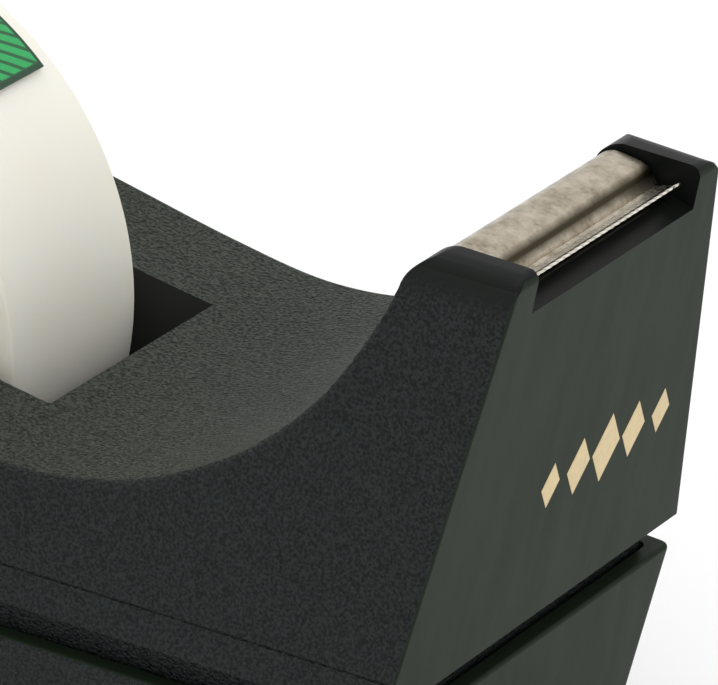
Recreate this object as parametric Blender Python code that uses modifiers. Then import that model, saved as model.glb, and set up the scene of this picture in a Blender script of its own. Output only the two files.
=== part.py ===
"""Weighted desk tape dispenser with a lift-out hub and a roll of tape.

The datum frame that the pieces are modelled in has +X towards the cutter, +Z up, and its zero
where the front panel's plane crosses the seam between the two housings. An empty carries that
frame, so that the finished object stands on z = 0 with its box centred on x = y = 0.
"""
import math

import bmesh
import bpy
from mathutils import Matrix, Vector

OBJECT_NAME = "tape_dispenser"
GAP = 0.0003                     # clearance between pieces that touch
FAR = 0.060                      # reach of a cutter past the body

# Outer form of the upper housing
PANEL_LEAN = 0.125               # forward run of the front panel for each unit of height
SIDE_DRAFT = 0.204               # how fast the side walls close in with height
PLAN_TAPER = 0.056               # how fast the body widens towards the rear
SEAM_HALF_WIDTH = 0.02503        # half width at the datum, at x = 0
REAR_X = -0.1405                 # rear wall at the datum height
REAR_CORNER = 0.015              # plan radius of the two rear corners
SKIRT_Z = 0.0020                 # lower edge of the upper housing's outer wall
CHEEK_TOP = 0.03955              # top of the two cheeks beside the cutter
HORN_BACK_X = -0.0043            # where the horn's back meets the cheek tops, before rounding
HORN_RADIUS = 0.0016             # rounding of the horn's back edge
NOSE_RADIUS = 0.0009             # rounding of the cheeks' front edge
FRONT_CORNER = 0.0010            # plan radius of the two front corners
LOFT_NOSE = 0.020                # front of the side walls' solid, ahead of the panel
LOFT_BOTTOM = -0.005
LOFT_TOP = 0.045
REAR_MARGIN = 0.001              # how far the side outline runs past the rear wall
WALL = 0.0023
EDGE_RADIUS = 0.0007

# Saddle line from the horn's back, down through the hollow and over the hub (x, z)
SADDLE = ((-0.00545, 0.0365), (-0.0075, 0.0316), (-0.0105, 0.0262), (-0.0150, 0.0212),
          (-0.0200, 0.0177), (-0.0270, 0.0146), (-0.0360, 0.0132), (-0.0460, 0.0141),
          (-0.0570, 0.0159), (-0.0680, 0.0177), (-0.0800, 0.0193), (-0.0950, 0.0200),
          (-0.1100, 0.0188), (-0.1220, 0.0163))
TAIL_CORNER = (-0.1367, 0.0115)  # where the tail's slope meets the rear wall, before rounding
TAIL_RADIUS = 0.007

# Collar under the upper housing, which drops into the lower one
COLLAR_INSET = 0.0015
COLLAR_FOOT_INSET = 0.0030       # the collar's foot leans in, to leave the base a wall
COLLAR_BOTTOM = -0.0042
COLLAR_LAP = 0.001               # how far the collar reaches up into the walls

# Hollow of the upper housing
CAVITY_FLOOR = -0.030
CAVITY_CEILING = 0.0330
CAVITY_TAIL = (-0.1307, 0.0090)
CAVITY_FRONT_MARGIN = 0.0005
SLOT_BOSS_DROP = 0.009           # how far the slots' thick wall reaches below the axle

# Lower housing
BASE_TOP = -0.00113
BASE_FLOOR_TOP = -0.0196
BASE_BOTTOM = -0.0212
BASE_FRONT_X = -0.0002
BASE_HALF_WIDTH = 0.0247
BASE_REAR_X = -0.1396
BASE_SIDE_DRAFT = 0.191
BASE_END_DRAFT = 0.114
BASE_FRONT_CORNER = 0.0009
BASE_WALL = 0.0020
BASE_EDGE_RADIUS = 0.0004
PAD_INSET = 0.0012
PAD_THICKNESS = 0.0018

# Well for the roll
WELL_FRONT_X = -0.0405
WELL_REAR_X = -0.1088
WELL_HALF_WIDTH = 0.0127
WELL_FLOOR = -0.0180
TUB_WALL = 0.0014
TUB_BOTTOM = -0.0193

# Hub, axle and roll
HUB_X = -0.07475
HUB_Z = 0.01137
AXLE_RADIUS = 0.0025
AXLE_HALF_LENGTH = 0.0156
AXLE_CHAMFER = 0.0004
SLOT_HALF_WIDTH = 0.0028
SLOT_DEPTH = 0.0032
SLOT_BOSS_HALF_LENGTH = 0.0060
SLOT_BOSS_THICKNESS = 0.0052
DRUM_RADIUS = 0.0122
DRUM_HALF_LENGTH = 0.0112
DRUM_WALL = 0.0016
DRUM_BORE = 0.0028
DRUM_BOSS = 0.0046
DRUM_DISC = 0.0014
DRUM_CHAMFER = 0.0006
DRUM_SEGMENTS = 48
RIB_COUNT = 12
RIB_HEIGHT = 0.0003
RIB_HALF_WIDTH = 0.0005
RIB_START = 0.0012
CORE_INNER = 0.0129
CORE_OUTER = 0.0143
TAPE_INNER = CORE_OUTER + GAP
TAPE_OUTER = 0.0285
TAPE_HALF_WIDTH = 0.0095
RING_CHAMFER = 0.0002
TAB_THICKNESS = 0.0002
TAB_HALF_WIDTH = 0.0073
TAB_START_DEG = 49.0
TAB_END_DEG = 95.0
TAB_STEPS = 10

# Cutter seat, landing plate and blade, as (x, z) outlines
SEAT_HALF_WIDTH = 0.0132
SEAT_BACK_X = -0.0080
RECESS_BOTTOM = 0.0357
RECESS_BACK = (0.0026, 0.0363)
RECESS_SHELF = 0.0004
BED_FRONT_X = 0.0016
PLATE_HALF_WIDTH = 0.0128
PLATE_THICKNESS = 0.0004
PLATE_LINE = ((-0.0047, 0.0376), (-0.0045, 0.0381), (-0.0040, 0.0386), (-0.0034, 0.0389),
              (-0.0028, 0.0390), (-0.0007, 0.03876), (0.0001, 0.03845), (0.0006, 0.0380),
              (0.0010, 0.0374), (0.0015, 0.0370), (0.0020, 0.03705), (0.0027, 0.0373))
BLADE_BACK = (0.0018, 0.0374)
BLADE_FRONT = (0.0029, 0.03775)
BLADE_THICKNESS = 0.0003
TOOTH_PITCH = 0.0010
TOOTH_LENGTH = 0.0006
BLADE_END_GAP = 0.0002           # blade ends stand back from the plate ends

# Ballast blocks and the screws that hold the housings together
BALLAST_GAP = 0.0006
BALLAST_CHAMFER = 0.0006
BALLAST_TOP = -0.0050
BALLAST_FRONT_SPAN = (-0.0378, -0.0056)
BALLAST_REAR_SPAN = (-0.1345, -0.1115)
BOSS_RADIUS = 0.0034
BOSS_TOP = 0.0060
PILOT_RADIUS = 0.0011
PILOT_TOP = -0.0040
SCREW_RADIUS = 0.0008
SCREW_HEAD_RADIUS = 0.0024
SCREW_HEAD_HEIGHT = 0.0011
SCREW_LENGTH = 0.0105
SCREW_POINT = 0.0012
SCREW_DOME = 0.0005
DRIVE_HALF_WIDTH = 0.0004
DRIVE_DEPTH = 0.0006
COUNTERBORE_RADIUS = 0.0028
COUNTERBORE_DEPTH = 0.0015
FOOT_BOSS_RADIUS = 0.0044
FOOT_BOSS_TOP = -0.0176
SCREW_PLACES = ((-0.0130, 0.0125), (-0.1240, 0.0150))

DATUM_HEIGHT = PAD_THICKNESS + GAP - BASE_BOTTOM


def clear_scene():
    """Remove every object of the startup scene."""
    for item in list(bpy.data.objects):
        bpy.data.objects.remove(item, do_unlink=True)


def make_collection(name):
    collection = bpy.data.collections.new(name)
    bpy.context.scene.collection.children.link(collection)
    return collection


def make_material(name, color, roughness, metallic=0.0):
    material = bpy.data.materials.new(name)
    material.use_nodes = True
    shader = material.node_tree.nodes["Principled BSDF"]
    shader.inputs["Base Color"].default_value = (*color, 1.0)
    shader.inputs["Roughness"].default_value = roughness
    shader.inputs["Metallic"].default_value = metallic
    return material


# ---------------------------------------------------------------- outlines

def fillet(before, corner, after, radius, steps):
    """Points of the arc that rounds a corner between two straight lines."""
    centre_point = Vector(corner)
    to_before = (Vector(before) - centre_point).normalized()
    to_after = (Vector(after) - centre_point).normalized()
    half_angle = to_before.angle(to_after) / 2
    middle = (to_before + to_after).normalized()
    centre = centre_point + middle * (radius / math.sin(half_angle))
    reach = radius / math.tan(half_angle)
    start = centre_point + to_before * reach - centre
    end = centre_point + to_after * reach - centre
    sweep = math.pi - 2 * half_angle
    turn = math.copysign(sweep, start.x * end.y - start.y * end.x)
    points = []
    for index in range(steps + 1):
        angle = turn * index / steps
        x = start.x * math.cos(angle) - start.y * math.sin(angle)
        y = start.x * math.sin(angle) + start.y * math.cos(angle)
        points.append((centre.x + x, centre.y + y))
    return points


def smooth_line(points, steps):
    """Points of a Catmull-Rom curve through the given points."""
    first = tuple(2 * a - b for a, b in zip(points[0], points[1]))
    last = tuple(2 * a - b for a, b in zip(points[-1], points[-2]))
    chain = [Vector(p) for p in (first, *points, last)]
    line = []
    for p0, p1, p2, p3 in zip(chain, chain[1:], chain[2:], chain[3:]):
        for index in range(steps):
            t = index / steps
            point = 0.5 * (2 * p1 + (p2 - p0) * t + (2 * p0 - 5 * p1 + 4 * p2 - p3) * t ** 2
                           + (3 * p1 - p0 - 3 * p2 + p3) * t ** 3)
            line.append(tuple(point))
    line.append(tuple(points[-1]))
    return line


def offset_line(points, distance):
    """The line moved sideways by a distance, to its left as it runs."""
    moved = []
    for index, point in enumerate(points):
        before = Vector(points[max(index - 1, 0)])
        after = Vector(points[min(index + 1, len(points) - 1)])
        along = (after - before).normalized()
        moved.append((point[0] - along.y * distance, point[1] + along.x * distance))
    return moved


def panel_x(z):
    return PANEL_LEAN * z


def saddle_line():
    return smooth_line(SADDLE, 3)


def housing_outline():
    """Side outline of the upper housing above its skirt edge."""
    foot = (panel_x(SKIRT_Z), SKIRT_Z)
    nose = (panel_x(CHEEK_TOP), CHEEK_TOP)
    horn = (HORN_BACK_X, CHEEK_TOP)
    rear = (REAR_X + SIDE_DRAFT * SKIRT_Z - REAR_MARGIN, SKIRT_Z)
    line = [foot]
    line += fillet(foot, nose, horn, NOSE_RADIUS, 3)
    line += fillet(nose, horn, SADDLE[0], HORN_RADIUS, 4)
    line += saddle_line()
    line += fillet(SADDLE[-1], TAIL_CORNER, rear, TAIL_RADIUS, 5)
    line.append(rear)
    return line


def plan_outline(front, rear, half_front, front_radius, rear_radius):
    """Plan of the body at one height: straight sides that widen to the rear, round corners."""
    half_rear = half_front - PLAN_TAPER * rear
    half_nose = half_front - PLAN_TAPER * front
    corners = ((front, -half_nose), (front, half_nose), (rear, half_rear), (rear, -half_rear))
    radii = (front_radius, front_radius, rear_radius, rear_radius)
    steps = (2, 2, 8, 8)
    line = []
    for index, corner in enumerate(corners):
        before = corners[index - 1]
        after = corners[(index + 1) % 4]
        line += fillet(before, corner, after, radii[index], steps[index])
    return line


def upper_plan(z, inset=0.0, front=None):
    """Plan of the upper housing's drafted walls at a height."""
    nose = LOFT_NOSE if front is None else front
    return [(x, y, z) for x, y in plan_outline(
        nose, REAR_X + SIDE_DRAFT * z + inset, SEAM_HALF_WIDTH - SIDE_DRAFT * z - inset,
        FRONT_CORNER, REAR_CORNER - SIDE_DRAFT * z - inset)]


def base_plan(z, inset=0.0):
    """Plan of the lower housing at a height."""
    drop = BASE_TOP - z
    return [(x, y, z) for x, y in plan_outline(
        BASE_FRONT_X - BASE_END_DRAFT * drop - inset,
        BASE_REAR_X + BASE_END_DRAFT * drop + inset,
        BASE_HALF_WIDTH - BASE_SIDE_DRAFT * drop - inset,
        BASE_FRONT_CORNER, REAR_CORNER - BASE_END_DRAFT * drop - inset)]


# ---------------------------------------------------------------- solids

class Workshop:
    """Holds the collections and the empties, and turns meshes into placed objects."""

    def __init__(self):
        self.parts = make_collection(OBJECT_NAME)
        self.cutters = make_collection("cutters")
        self.datum = self.add_empty("datum_frame", Vector((0, 0, 0)), None)
        self.axle_frame = self.add_empty("axle_frame", Vector((HUB_X, 0, HUB_Z)), self.datum)
        self.spin_frame = self.add_empty("spin_frame", Vector((0, 0, 0)), self.axle_frame)

    def add_empty(self, name, place, parent):
        empty = bpy.data.objects.new(name, None)
        empty.location = place
        empty.parent = parent
        self.parts.objects.link(empty)
        return empty

    def add(self, name, mesh, material=None, parent=None, cutter=False):
        item = bpy.data.objects.new(name, mesh)
        item.parent = parent or self.datum
        if cutter:
            self.cutters.objects.link(item)
            item.hide_render = True
            item.display_type = "WIRE"
        else:
            self.parts.objects.link(item)
            mesh.materials.append(material)
        return item

    def cutter(self, name, mesh, parent=None):
        return self.add(name, mesh, parent=parent, cutter=True)


def mesh_from(bm, name):
    bmesh.ops.recalc_face_normals(bm, faces=bm.faces)
    mesh = bpy.data.meshes.new(name)
    bm.to_mesh(mesh)
    bm.free()
    return mesh


def side_prism(name, outline, half_width):
    """A solid with a side outline in (x, z), as wide as asked, from a filled 2D curve."""
    curve = bpy.data.curves.new(name, "CURVE")
    curve.dimensions = "2D"
    curve.fill_mode = "BOTH"
    curve.extrude = half_width
    spline = curve.splines.new("POLY")
    spline.points.add(len(outline) - 1)
    for point, (x, z) in zip(spline.points, outline):
        point.co = (x, z, 0, 1)
    spline.use_cyclic_u = True
    holder = bpy.data.objects.new(name, curve)
    bpy.context.scene.collection.objects.link(holder)
    graph = bpy.context.evaluated_depsgraph_get()
    mesh = bpy.data.meshes.new_from_object(holder.evaluated_get(graph))
    bpy.data.objects.remove(holder)
    bpy.data.curves.remove(curve)
    bm = bmesh.new()
    bm.from_mesh(mesh)
    bmesh.ops.remove_doubles(bm, verts=bm.verts, dist=0.00001)
    bmesh.ops.dissolve_limit(bm, angle_limit=0.001, verts=bm.verts, edges=bm.edges)
    bmesh.ops.transform(bm, matrix=Matrix.Rotation(math.pi / 2, 4, "X"), verts=bm.verts)
    bpy.data.meshes.remove(mesh)
    return mesh_from(bm, name)


def loft(name, lower, upper):
    """A solid between two plan outlines with the same number of points."""
    bm = bmesh.new()
    rings = [[bm.verts.new(point) for point in ring] for ring in (lower, upper)]
    count = len(lower)
    for index in range(count):
        after = (index + 1) % count
        bm.faces.new((rings[0][index], rings[0][after], rings[1][after], rings[1][index]))
    bm.faces.new(rings[0])
    bm.faces.new(rings[1])
    return mesh_from(bm, name)


def box(name, low, high):
    bm = bmesh.new()
    low = Vector(low)
    high = Vector(high)
    size = Matrix.Diagonal((*(high - low), 1.0))
    bmesh.ops.create_cube(bm, size=1.0, matrix=Matrix.Translation((low + high) / 2) @ size)
    return mesh_from(bm, name)


def rod(name, radius, start, end, segments=32, end_radius=None):
    """A round bar, or a cone, between two points."""
    start = Vector(start)
    end = Vector(end)
    turn = Vector((0, 0, 1)).rotation_difference(end - start).to_matrix().to_4x4()
    bm = bmesh.new()
    bmesh.ops.create_cone(bm, cap_ends=True, segments=segments, radius1=radius,
                          radius2=radius if end_radius is None else end_radius,
                          depth=(end - start).length,
                          matrix=Matrix.Translation((start + end) / 2) @ turn)
    return mesh_from(bm, name)


def boolean(target, other, operation="DIFFERENCE"):
    modifier = target.modifiers.new(other.name, "BOOLEAN")
    modifier.operation = operation
    modifier.object = other
    modifier.solver = "EXACT"


def bevel(target, width, segments=2, angle=40.0):
    modifier = target.modifiers.new("edge_rounding", "BEVEL")
    modifier.width = width
    modifier.segments = segments
    modifier.limit_method = "ANGLE"
    modifier.angle_limit = math.radians(angle)


def screw_points():
    return [(x, side * y) for x, y in SCREW_PLACES for side in (-1, 1)]


def collar_loft(name, clearance):
    """The collar between the housings, or the room for it where a clearance is given."""
    front = panel_x(SKIRT_Z)
    return loft(name, upper_plan(COLLAR_BOTTOM - clearance, COLLAR_FOOT_INSET - clearance,
                                 front - COLLAR_FOOT_INSET + clearance),
                upper_plan(SKIRT_Z + COLLAR_LAP, COLLAR_INSET - clearance,
                           front - COLLAR_INSET + clearance))


# ---------------------------------------------------------------- upper housing

def tub_block(name):
    """Outer block of the well that the roll hangs in."""
    return box(name, (WELL_REAR_X - TUB_WALL, -WELL_HALF_WIDTH - TUB_WALL, TUB_BOTTOM),
               (WELL_FRONT_X + TUB_WALL, WELL_HALF_WIDTH + TUB_WALL, BOSS_TOP))


def upper_cavity(shop):
    """Hollow of the upper housing, open at the bottom, around the well and the screw bosses."""
    panel_inner = WALL * math.hypot(1, PANEL_LEAN)
    roof = [point for point in offset_line(saddle_line(), WALL) if point[1] < CAVITY_CEILING]
    outline = [(panel_x(CAVITY_FLOOR) - panel_inner, CAVITY_FLOOR),
               (panel_x(CAVITY_CEILING) - panel_inner, CAVITY_CEILING),
               (roof[0][0], CAVITY_CEILING)]
    outline += roof + [CAVITY_TAIL, (REAR_X + WALL, CAVITY_FLOOR)]
    cavity = shop.cutter("upper_cavity", side_prism("upper_cavity", outline, FAR))
    inset = WALL + COLLAR_FOOT_INSET
    walls = shop.cutter("upper_cavity_walls", loft(
        "upper_cavity_walls", upper_plan(CAVITY_FLOOR, inset), upper_plan(LOFT_TOP, inset)))
    boolean(cavity, walls, "INTERSECT")
    front = box("collar_front_keep",
                (panel_x(SKIRT_Z) - inset - CAVITY_FRONT_MARGIN, -FAR, -FAR),
                (LOFT_NOSE, FAR, SKIRT_Z + WALL))
    boolean(cavity, shop.cutter("collar_front_keep", front))
    boolean(cavity, shop.cutter("tub_keep", box(
        "tub_keep", (WELL_REAR_X - TUB_WALL, -WELL_HALF_WIDTH - TUB_WALL, -FAR),
        (WELL_FRONT_X + TUB_WALL, WELL_HALF_WIDTH + TUB_WALL, FAR))))
    slot_reach = WELL_HALF_WIDTH + SLOT_BOSS_THICKNESS
    boolean(cavity, shop.cutter("slot_boss_keep", box(
        "slot_boss_keep", (HUB_X - SLOT_BOSS_HALF_LENGTH, -slot_reach, HUB_Z - SLOT_BOSS_DROP),
        (HUB_X + SLOT_BOSS_HALF_LENGTH, slot_reach, FAR))))
    for index, (x, y) in enumerate(screw_points()):
        name = f"boss_keep_{index + 1}"
        boolean(cavity, shop.cutter(name, rod(name, BOSS_RADIUS, (x, y, -FAR), (x, y, FAR), 20)))
    return cavity


def axle_slot_mesh(name):
    """Open slots in the two well walls, round at the bottom, that the axle drops into."""
    reach = WELL_HALF_WIDTH + SLOT_DEPTH
    steps = 8
    outline = [(SLOT_HALF_WIDTH, FAR), (-SLOT_HALF_WIDTH, FAR)]
    for index in range(steps + 1):
        angle = math.pi * (1 + index / steps)
        outline.append((SLOT_HALF_WIDTH * math.cos(angle), SLOT_HALF_WIDTH * math.sin(angle)))
    outline = [(HUB_X + x, HUB_Z + z) for x, z in outline]
    return side_prism(name, outline, reach)


def cutter_seat_mesh(name):
    """Space between the cheeks: the plate's bed and the slope under the blade."""
    bed = [(x, z) for x, z in offset_line(PLATE_LINE, -PLATE_THICKNESS - GAP) if x < BED_FRONT_X]
    outline = [(LOFT_NOSE, RECESS_BOTTOM), (LOFT_NOSE, FAR), (SEAT_BACK_X, FAR),
               (SEAT_BACK_X, bed[0][1])]
    outline += bed
    outline += [(RECESS_BACK[0] - RECESS_SHELF, RECESS_BACK[1]), RECESS_BACK,
                (panel_x(RECESS_BOTTOM), RECESS_BOTTOM)]
    return side_prism(name, outline, SEAT_HALF_WIDTH)


def build_upper_housing(shop, material):
    body = shop.add("upper_housing", side_prism("upper_housing", housing_outline(), FAR),
                    material)
    walls = shop.cutter("upper_walls", loft(
        "upper_walls", upper_plan(LOFT_BOTTOM), upper_plan(LOFT_TOP)))
    boolean(body, walls, "INTERSECT")
    bevel(body, EDGE_RADIUS)
    boolean(body, shop.cutter("collar", collar_loft("collar", 0.0)), "UNION")
    boolean(body, shop.cutter("tub_block", tub_block("tub_block")), "UNION")
    for index, (x, y) in enumerate(screw_points()):
        name = f"boss_{index + 1}"
        post = rod(name, BOSS_RADIUS, (x, y, FOOT_BOSS_TOP + GAP), (x, y, BOSS_TOP), 20)
        boolean(body, shop.cutter(name, post), "UNION")
    boolean(body, upper_cavity(shop))
    well = box("well", (WELL_REAR_X, -WELL_HALF_WIDTH, WELL_FLOOR),
               (WELL_FRONT_X, WELL_HALF_WIDTH, FAR))
    boolean(body, shop.cutter("well", well))
    boolean(body, shop.cutter("axle_slots", axle_slot_mesh("axle_slots")))
    boolean(body, shop.cutter("cutter_seat", cutter_seat_mesh("cutter_seat")))
    for index, (x, y) in enumerate(screw_points()):
        name = f"pilot_{index + 1}"
        hole = rod(name, PILOT_RADIUS, (x, y, -FAR), (x, y, PILOT_TOP), 12)
        boolean(body, shop.cutter(name, hole))
    return body


# ---------------------------------------------------------------- lower housing

def build_lower_housing(shop, material):
    body = shop.add("lower_housing", loft(
        "lower_housing", base_plan(BASE_BOTTOM), base_plan(BASE_TOP)), material)
    bevel(body, BASE_EDGE_RADIUS, 2)
    hollow = loft("base_hollow", base_plan(BASE_FLOOR_TOP, BASE_WALL),
                  base_plan(SKIRT_Z, BASE_WALL))
    hollow = shop.cutter("base_hollow", hollow)
    for index, (x, y) in enumerate(screw_points()):
        name = f"foot_boss_keep_{index + 1}"
        post = rod(name, FOOT_BOSS_RADIUS, (x, y, -FAR), (x, y, FOOT_BOSS_TOP), 20)
        boolean(hollow, shop.cutter(name, post))
    boolean(body, hollow)
    boolean(body, shop.cutter("collar_room", collar_loft("collar_room", GAP)))
    for index, (x, y) in enumerate(screw_points()):
        name = f"counterbore_{index + 1}"
        wide = rod(name, COUNTERBORE_RADIUS, (x, y, -FAR),
                   (x, y, BASE_BOTTOM + COUNTERBORE_DEPTH), 24)
        boolean(body, shop.cutter(name, wide))
        name = f"screw_hole_{index + 1}"
        hole = rod(name, PILOT_RADIUS, (x, y, -FAR), (x, y, 0.0), 16)
        boolean(body, shop.cutter(name, hole))
    return body


def build_base_pad(shop, material):
    top = BASE_BOTTOM - GAP
    plan = base_plan(BASE_BOTTOM, PAD_INSET)
    lower = [(x, y, top - PAD_THICKNESS) for x, y, _ in plan]
    upper = [(x, y, top) for x, y, _ in plan]
    return shop.add("base_pad", loft("base_pad", lower, upper), material)


def build_ballast(shop, material):
    """Cast blocks that fill both ends of the lower housing, around the screw bosses."""
    inset = BASE_WALL + BALLAST_GAP
    low = BASE_FLOOR_TOP + BALLAST_GAP
    for name, span in (("ballast_front", BALLAST_FRONT_SPAN), ("ballast_rear", BALLAST_REAR_SPAN)):
        block = shop.add(name, loft(name, base_plan(low, inset + COLLAR_INSET),
                                    base_plan(BALLAST_TOP, inset + COLLAR_INSET)), material)
        reach = box(f"{name}_span", (span[0], -FAR, -FAR), (span[1], FAR, FAR))
        boolean(block, shop.cutter(f"{name}_span", reach), "INTERSECT")
        bevel(block, BALLAST_CHAMFER, 1)
        for index, (x, y) in enumerate(screw_points()):
            if span[0] < x < span[1]:
                hole_name = f"{name}_hole_{index + 1}"
                hole = rod(hole_name, FOOT_BOSS_RADIUS + BALLAST_GAP, (x, y, -FAR),
                           (x, y, 0.0), 24)
                boolean(block, shop.cutter(hole_name, hole))


def build_screws(shop, material):
    """Pan-head screws, driven up from the lower housing into the upper housing's bosses."""
    head_low = BASE_BOTTOM + COUNTERBORE_DEPTH - GAP - SCREW_HEAD_HEIGHT
    shank_low = head_low + SCREW_HEAD_HEIGHT
    tip = shank_low + SCREW_LENGTH
    profile = ((0, tip), (SCREW_RADIUS * 0.4, tip), (SCREW_RADIUS, tip - SCREW_POINT),
               (SCREW_RADIUS, shank_low), (SCREW_HEAD_RADIUS, shank_low),
               (SCREW_HEAD_RADIUS, head_low + SCREW_DOME), (SCREW_HEAD_RADIUS - SCREW_DOME, head_low),
               (0, head_low))
    for index, (x, y) in enumerate(screw_points()):
        screw = shop.add(f"base_screw_{index + 1}", turned(profile, f"base_screw_{index + 1}"),
                         material)
        add_screw_modifier(screw, 20)
        screw.location = (x, y, 0)
        slot = box(f"drive_slot_{index + 1}", (x - DRIVE_HALF_WIDTH, y - BOSS_RADIUS, -FAR),
                   (x + DRIVE_HALF_WIDTH, y + BOSS_RADIUS, head_low + DRIVE_DEPTH))
        boolean(screw, shop.cutter(f"drive_slot_{index + 1}", slot))


def turned(profile, name):
    """The profile of a turned piece, as a chain of edges in (radius, height)."""
    mesh = bpy.data.meshes.new(name)
    bm = bmesh.new()
    chain = [bm.verts.new((radius, 0, height)) for radius, height in profile]
    for first, second in zip(chain, chain[1:]):
        bm.edges.new((first, second))
    bm.to_mesh(mesh)
    bm.free()
    return mesh


def add_screw_modifier(item, steps):
    modifier = item.modifiers.new("turn", "SCREW")
    modifier.axis = "Z"
    modifier.steps = steps
    modifier.render_steps = steps
    modifier.use_merge_vertices = True
    modifier.merge_threshold = 0.00001
    modifier.use_smooth_shade = True


# ---------------------------------------------------------------- hub and roll

def lay_on_side(item):
    """Turn a piece made about Z so that it lies about the joint's Y axis."""
    item.rotation_euler = (math.pi / 2, 0, 0)


def build_axle(shop, material):
    end_radius = AXLE_RADIUS - AXLE_CHAMFER
    shoulder = AXLE_HALF_LENGTH - AXLE_CHAMFER
    profile = ((0, AXLE_HALF_LENGTH), (end_radius, AXLE_HALF_LENGTH), (AXLE_RADIUS, shoulder),
               (AXLE_RADIUS, 0), (AXLE_RADIUS, -shoulder), (end_radius, -AXLE_HALF_LENGTH),
               (0, -AXLE_HALF_LENGTH))
    axle = shop.add("hub_axle", turned(profile, "hub_axle"), material, shop.axle_frame)
    add_screw_modifier(axle, 32)
    lay_on_side(axle)


def hub_half_mesh(name, side):
    """One cup of the drum: rim wall, outer end disc, boss and grip ribs."""
    inner_end = GAP / 2
    disc_inner = DRUM_HALF_LENGTH - DRUM_DISC
    profile = [(DRUM_BORE, DRUM_HALF_LENGTH), (DRUM_RADIUS - DRUM_CHAMFER, DRUM_HALF_LENGTH),
               (DRUM_RADIUS, DRUM_HALF_LENGTH - DRUM_CHAMFER), (DRUM_RADIUS, inner_end),
               (DRUM_RADIUS - DRUM_WALL, inner_end), (DRUM_RADIUS - DRUM_WALL, disc_inner),
               (DRUM_BOSS, disc_inner), (DRUM_BOSS, inner_end), (DRUM_BORE, inner_end)]
    bm = bmesh.new()
    chain = [bm.verts.new((radius, 0, side * height)) for radius, height in profile]
    edges = [bm.edges.new((chain[i], chain[(i + 1) % len(chain)])) for i in range(len(chain))]
    bmesh.ops.spin(bm, geom=chain + edges, cent=(0, 0, 0), axis=(0, 0, 1), angle=2 * math.pi,
                   steps=DRUM_SEGMENTS, use_merge=True)
    bmesh.ops.remove_doubles(bm, verts=bm.verts, dist=0.000005)
    return mesh_from(bm, name)


def build_hub(shop, material):
    for name, side in (("hub_half_right", 1), ("hub_half_left", -1)):
        half = shop.add(name, hub_half_mesh(name, side), material, shop.spin_frame)
        lay_on_side(half)
        low, high = sorted((side * RIB_START, side * (DRUM_HALF_LENGTH - DRUM_CHAMFER)))
        for index in range(RIB_COUNT):
            rib_name = f"{name}_rib_{index + 1}"
            rib = box(rib_name, (DRUM_RADIUS - DRUM_WALL / 2, -RIB_HALF_WIDTH, low),
                      (DRUM_RADIUS + RIB_HEIGHT, RIB_HALF_WIDTH, high))
            rib = shop.cutter(rib_name, rib, shop.spin_frame)
            rib.rotation_euler = (math.pi / 2, 2 * math.pi * index / RIB_COUNT, 0)
            boolean(half, rib, "UNION")


def ring_profile(inner, outer):
    """Section of a wound ring, with its two outer edges broken."""
    width = TAPE_HALF_WIDTH
    return ((inner, width), (outer - RING_CHAMFER, width), (outer, width - RING_CHAMFER),
            (outer, RING_CHAMFER - width), (outer - RING_CHAMFER, -width), (inner, -width),
            (inner, width))


def build_roll(shop, core_material, tape_material, tab_material):
    core = shop.add("tape_core", turned(ring_profile(CORE_INNER, CORE_OUTER), "tape_core"),
                    core_material, shop.spin_frame)
    add_screw_modifier(core, 48)
    lay_on_side(core)
    roll = shop.add("tape_roll", turned(ring_profile(TAPE_INNER, TAPE_OUTER), "tape_roll"),
                    tape_material, shop.spin_frame)
    add_screw_modifier(roll, 72)
    lay_on_side(roll)
    inner = TAPE_OUTER + GAP
    outer = inner + TAB_THICKNESS
    angles = [math.radians(TAB_START_DEG + (TAB_END_DEG - TAB_START_DEG) * i / TAB_STEPS)
              for i in range(TAB_STEPS + 1)]
    outline = [(outer * math.cos(a), outer * math.sin(a)) for a in angles]
    outline += [(inner * math.cos(a), inner * math.sin(a)) for a in reversed(angles)]
    shop.add("starter_tab", side_prism("starter_tab", outline, TAB_HALF_WIDTH), tab_material,
             shop.spin_frame)


# ---------------------------------------------------------------- cutter

def build_landing_plate(shop, material):
    upper = list(PLATE_LINE)
    lower = offset_line(PLATE_LINE, -PLATE_THICKNESS)
    outline = upper + lower[::-1]
    shop.add("landing_plate", side_prism("landing_plate", outline, PLATE_HALF_WIDTH), material)


def build_blade(shop, material):
    """A flat strip with a saw edge, lying on the front lip of the landing plate."""
    count = round(2 * (PLATE_HALF_WIDTH - BLADE_END_GAP) / TOOTH_PITCH)
    half = count * TOOTH_PITCH / 2
    back = Vector((BLADE_BACK[0], 0, BLADE_BACK[1]))
    front = Vector((BLADE_FRONT[0], 0, BLADE_FRONT[1]))
    along = (front - back).normalized()
    lift = Vector((-along.z, 0, along.x)) * BLADE_THICKNESS
    outline = [back + Vector((0, -half, 0))]
    for index in range(count):
        y = -half + index * TOOTH_PITCH
        outline.append(front + Vector((0, y, 0)))
        outline.append(front + along * TOOTH_LENGTH + Vector((0, y + TOOTH_PITCH / 2, 0)))
    outline.append(front + Vector((0, half, 0)))
    outline.append(back + Vector((0, half, 0)))
    bm = bmesh.new()
    face = bm.faces.new([bm.verts.new(point) for point in outline])
    pushed = bmesh.ops.extrude_face_region(bm, geom=[face])
    raised = [item for item in pushed["geom"] if isinstance(item, bmesh.types.BMVert)]
    bmesh.ops.translate(bm, vec=lift, verts=raised)
    shop.add("cutter_blade", mesh_from(bm, "cutter_blade"), material)


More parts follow.
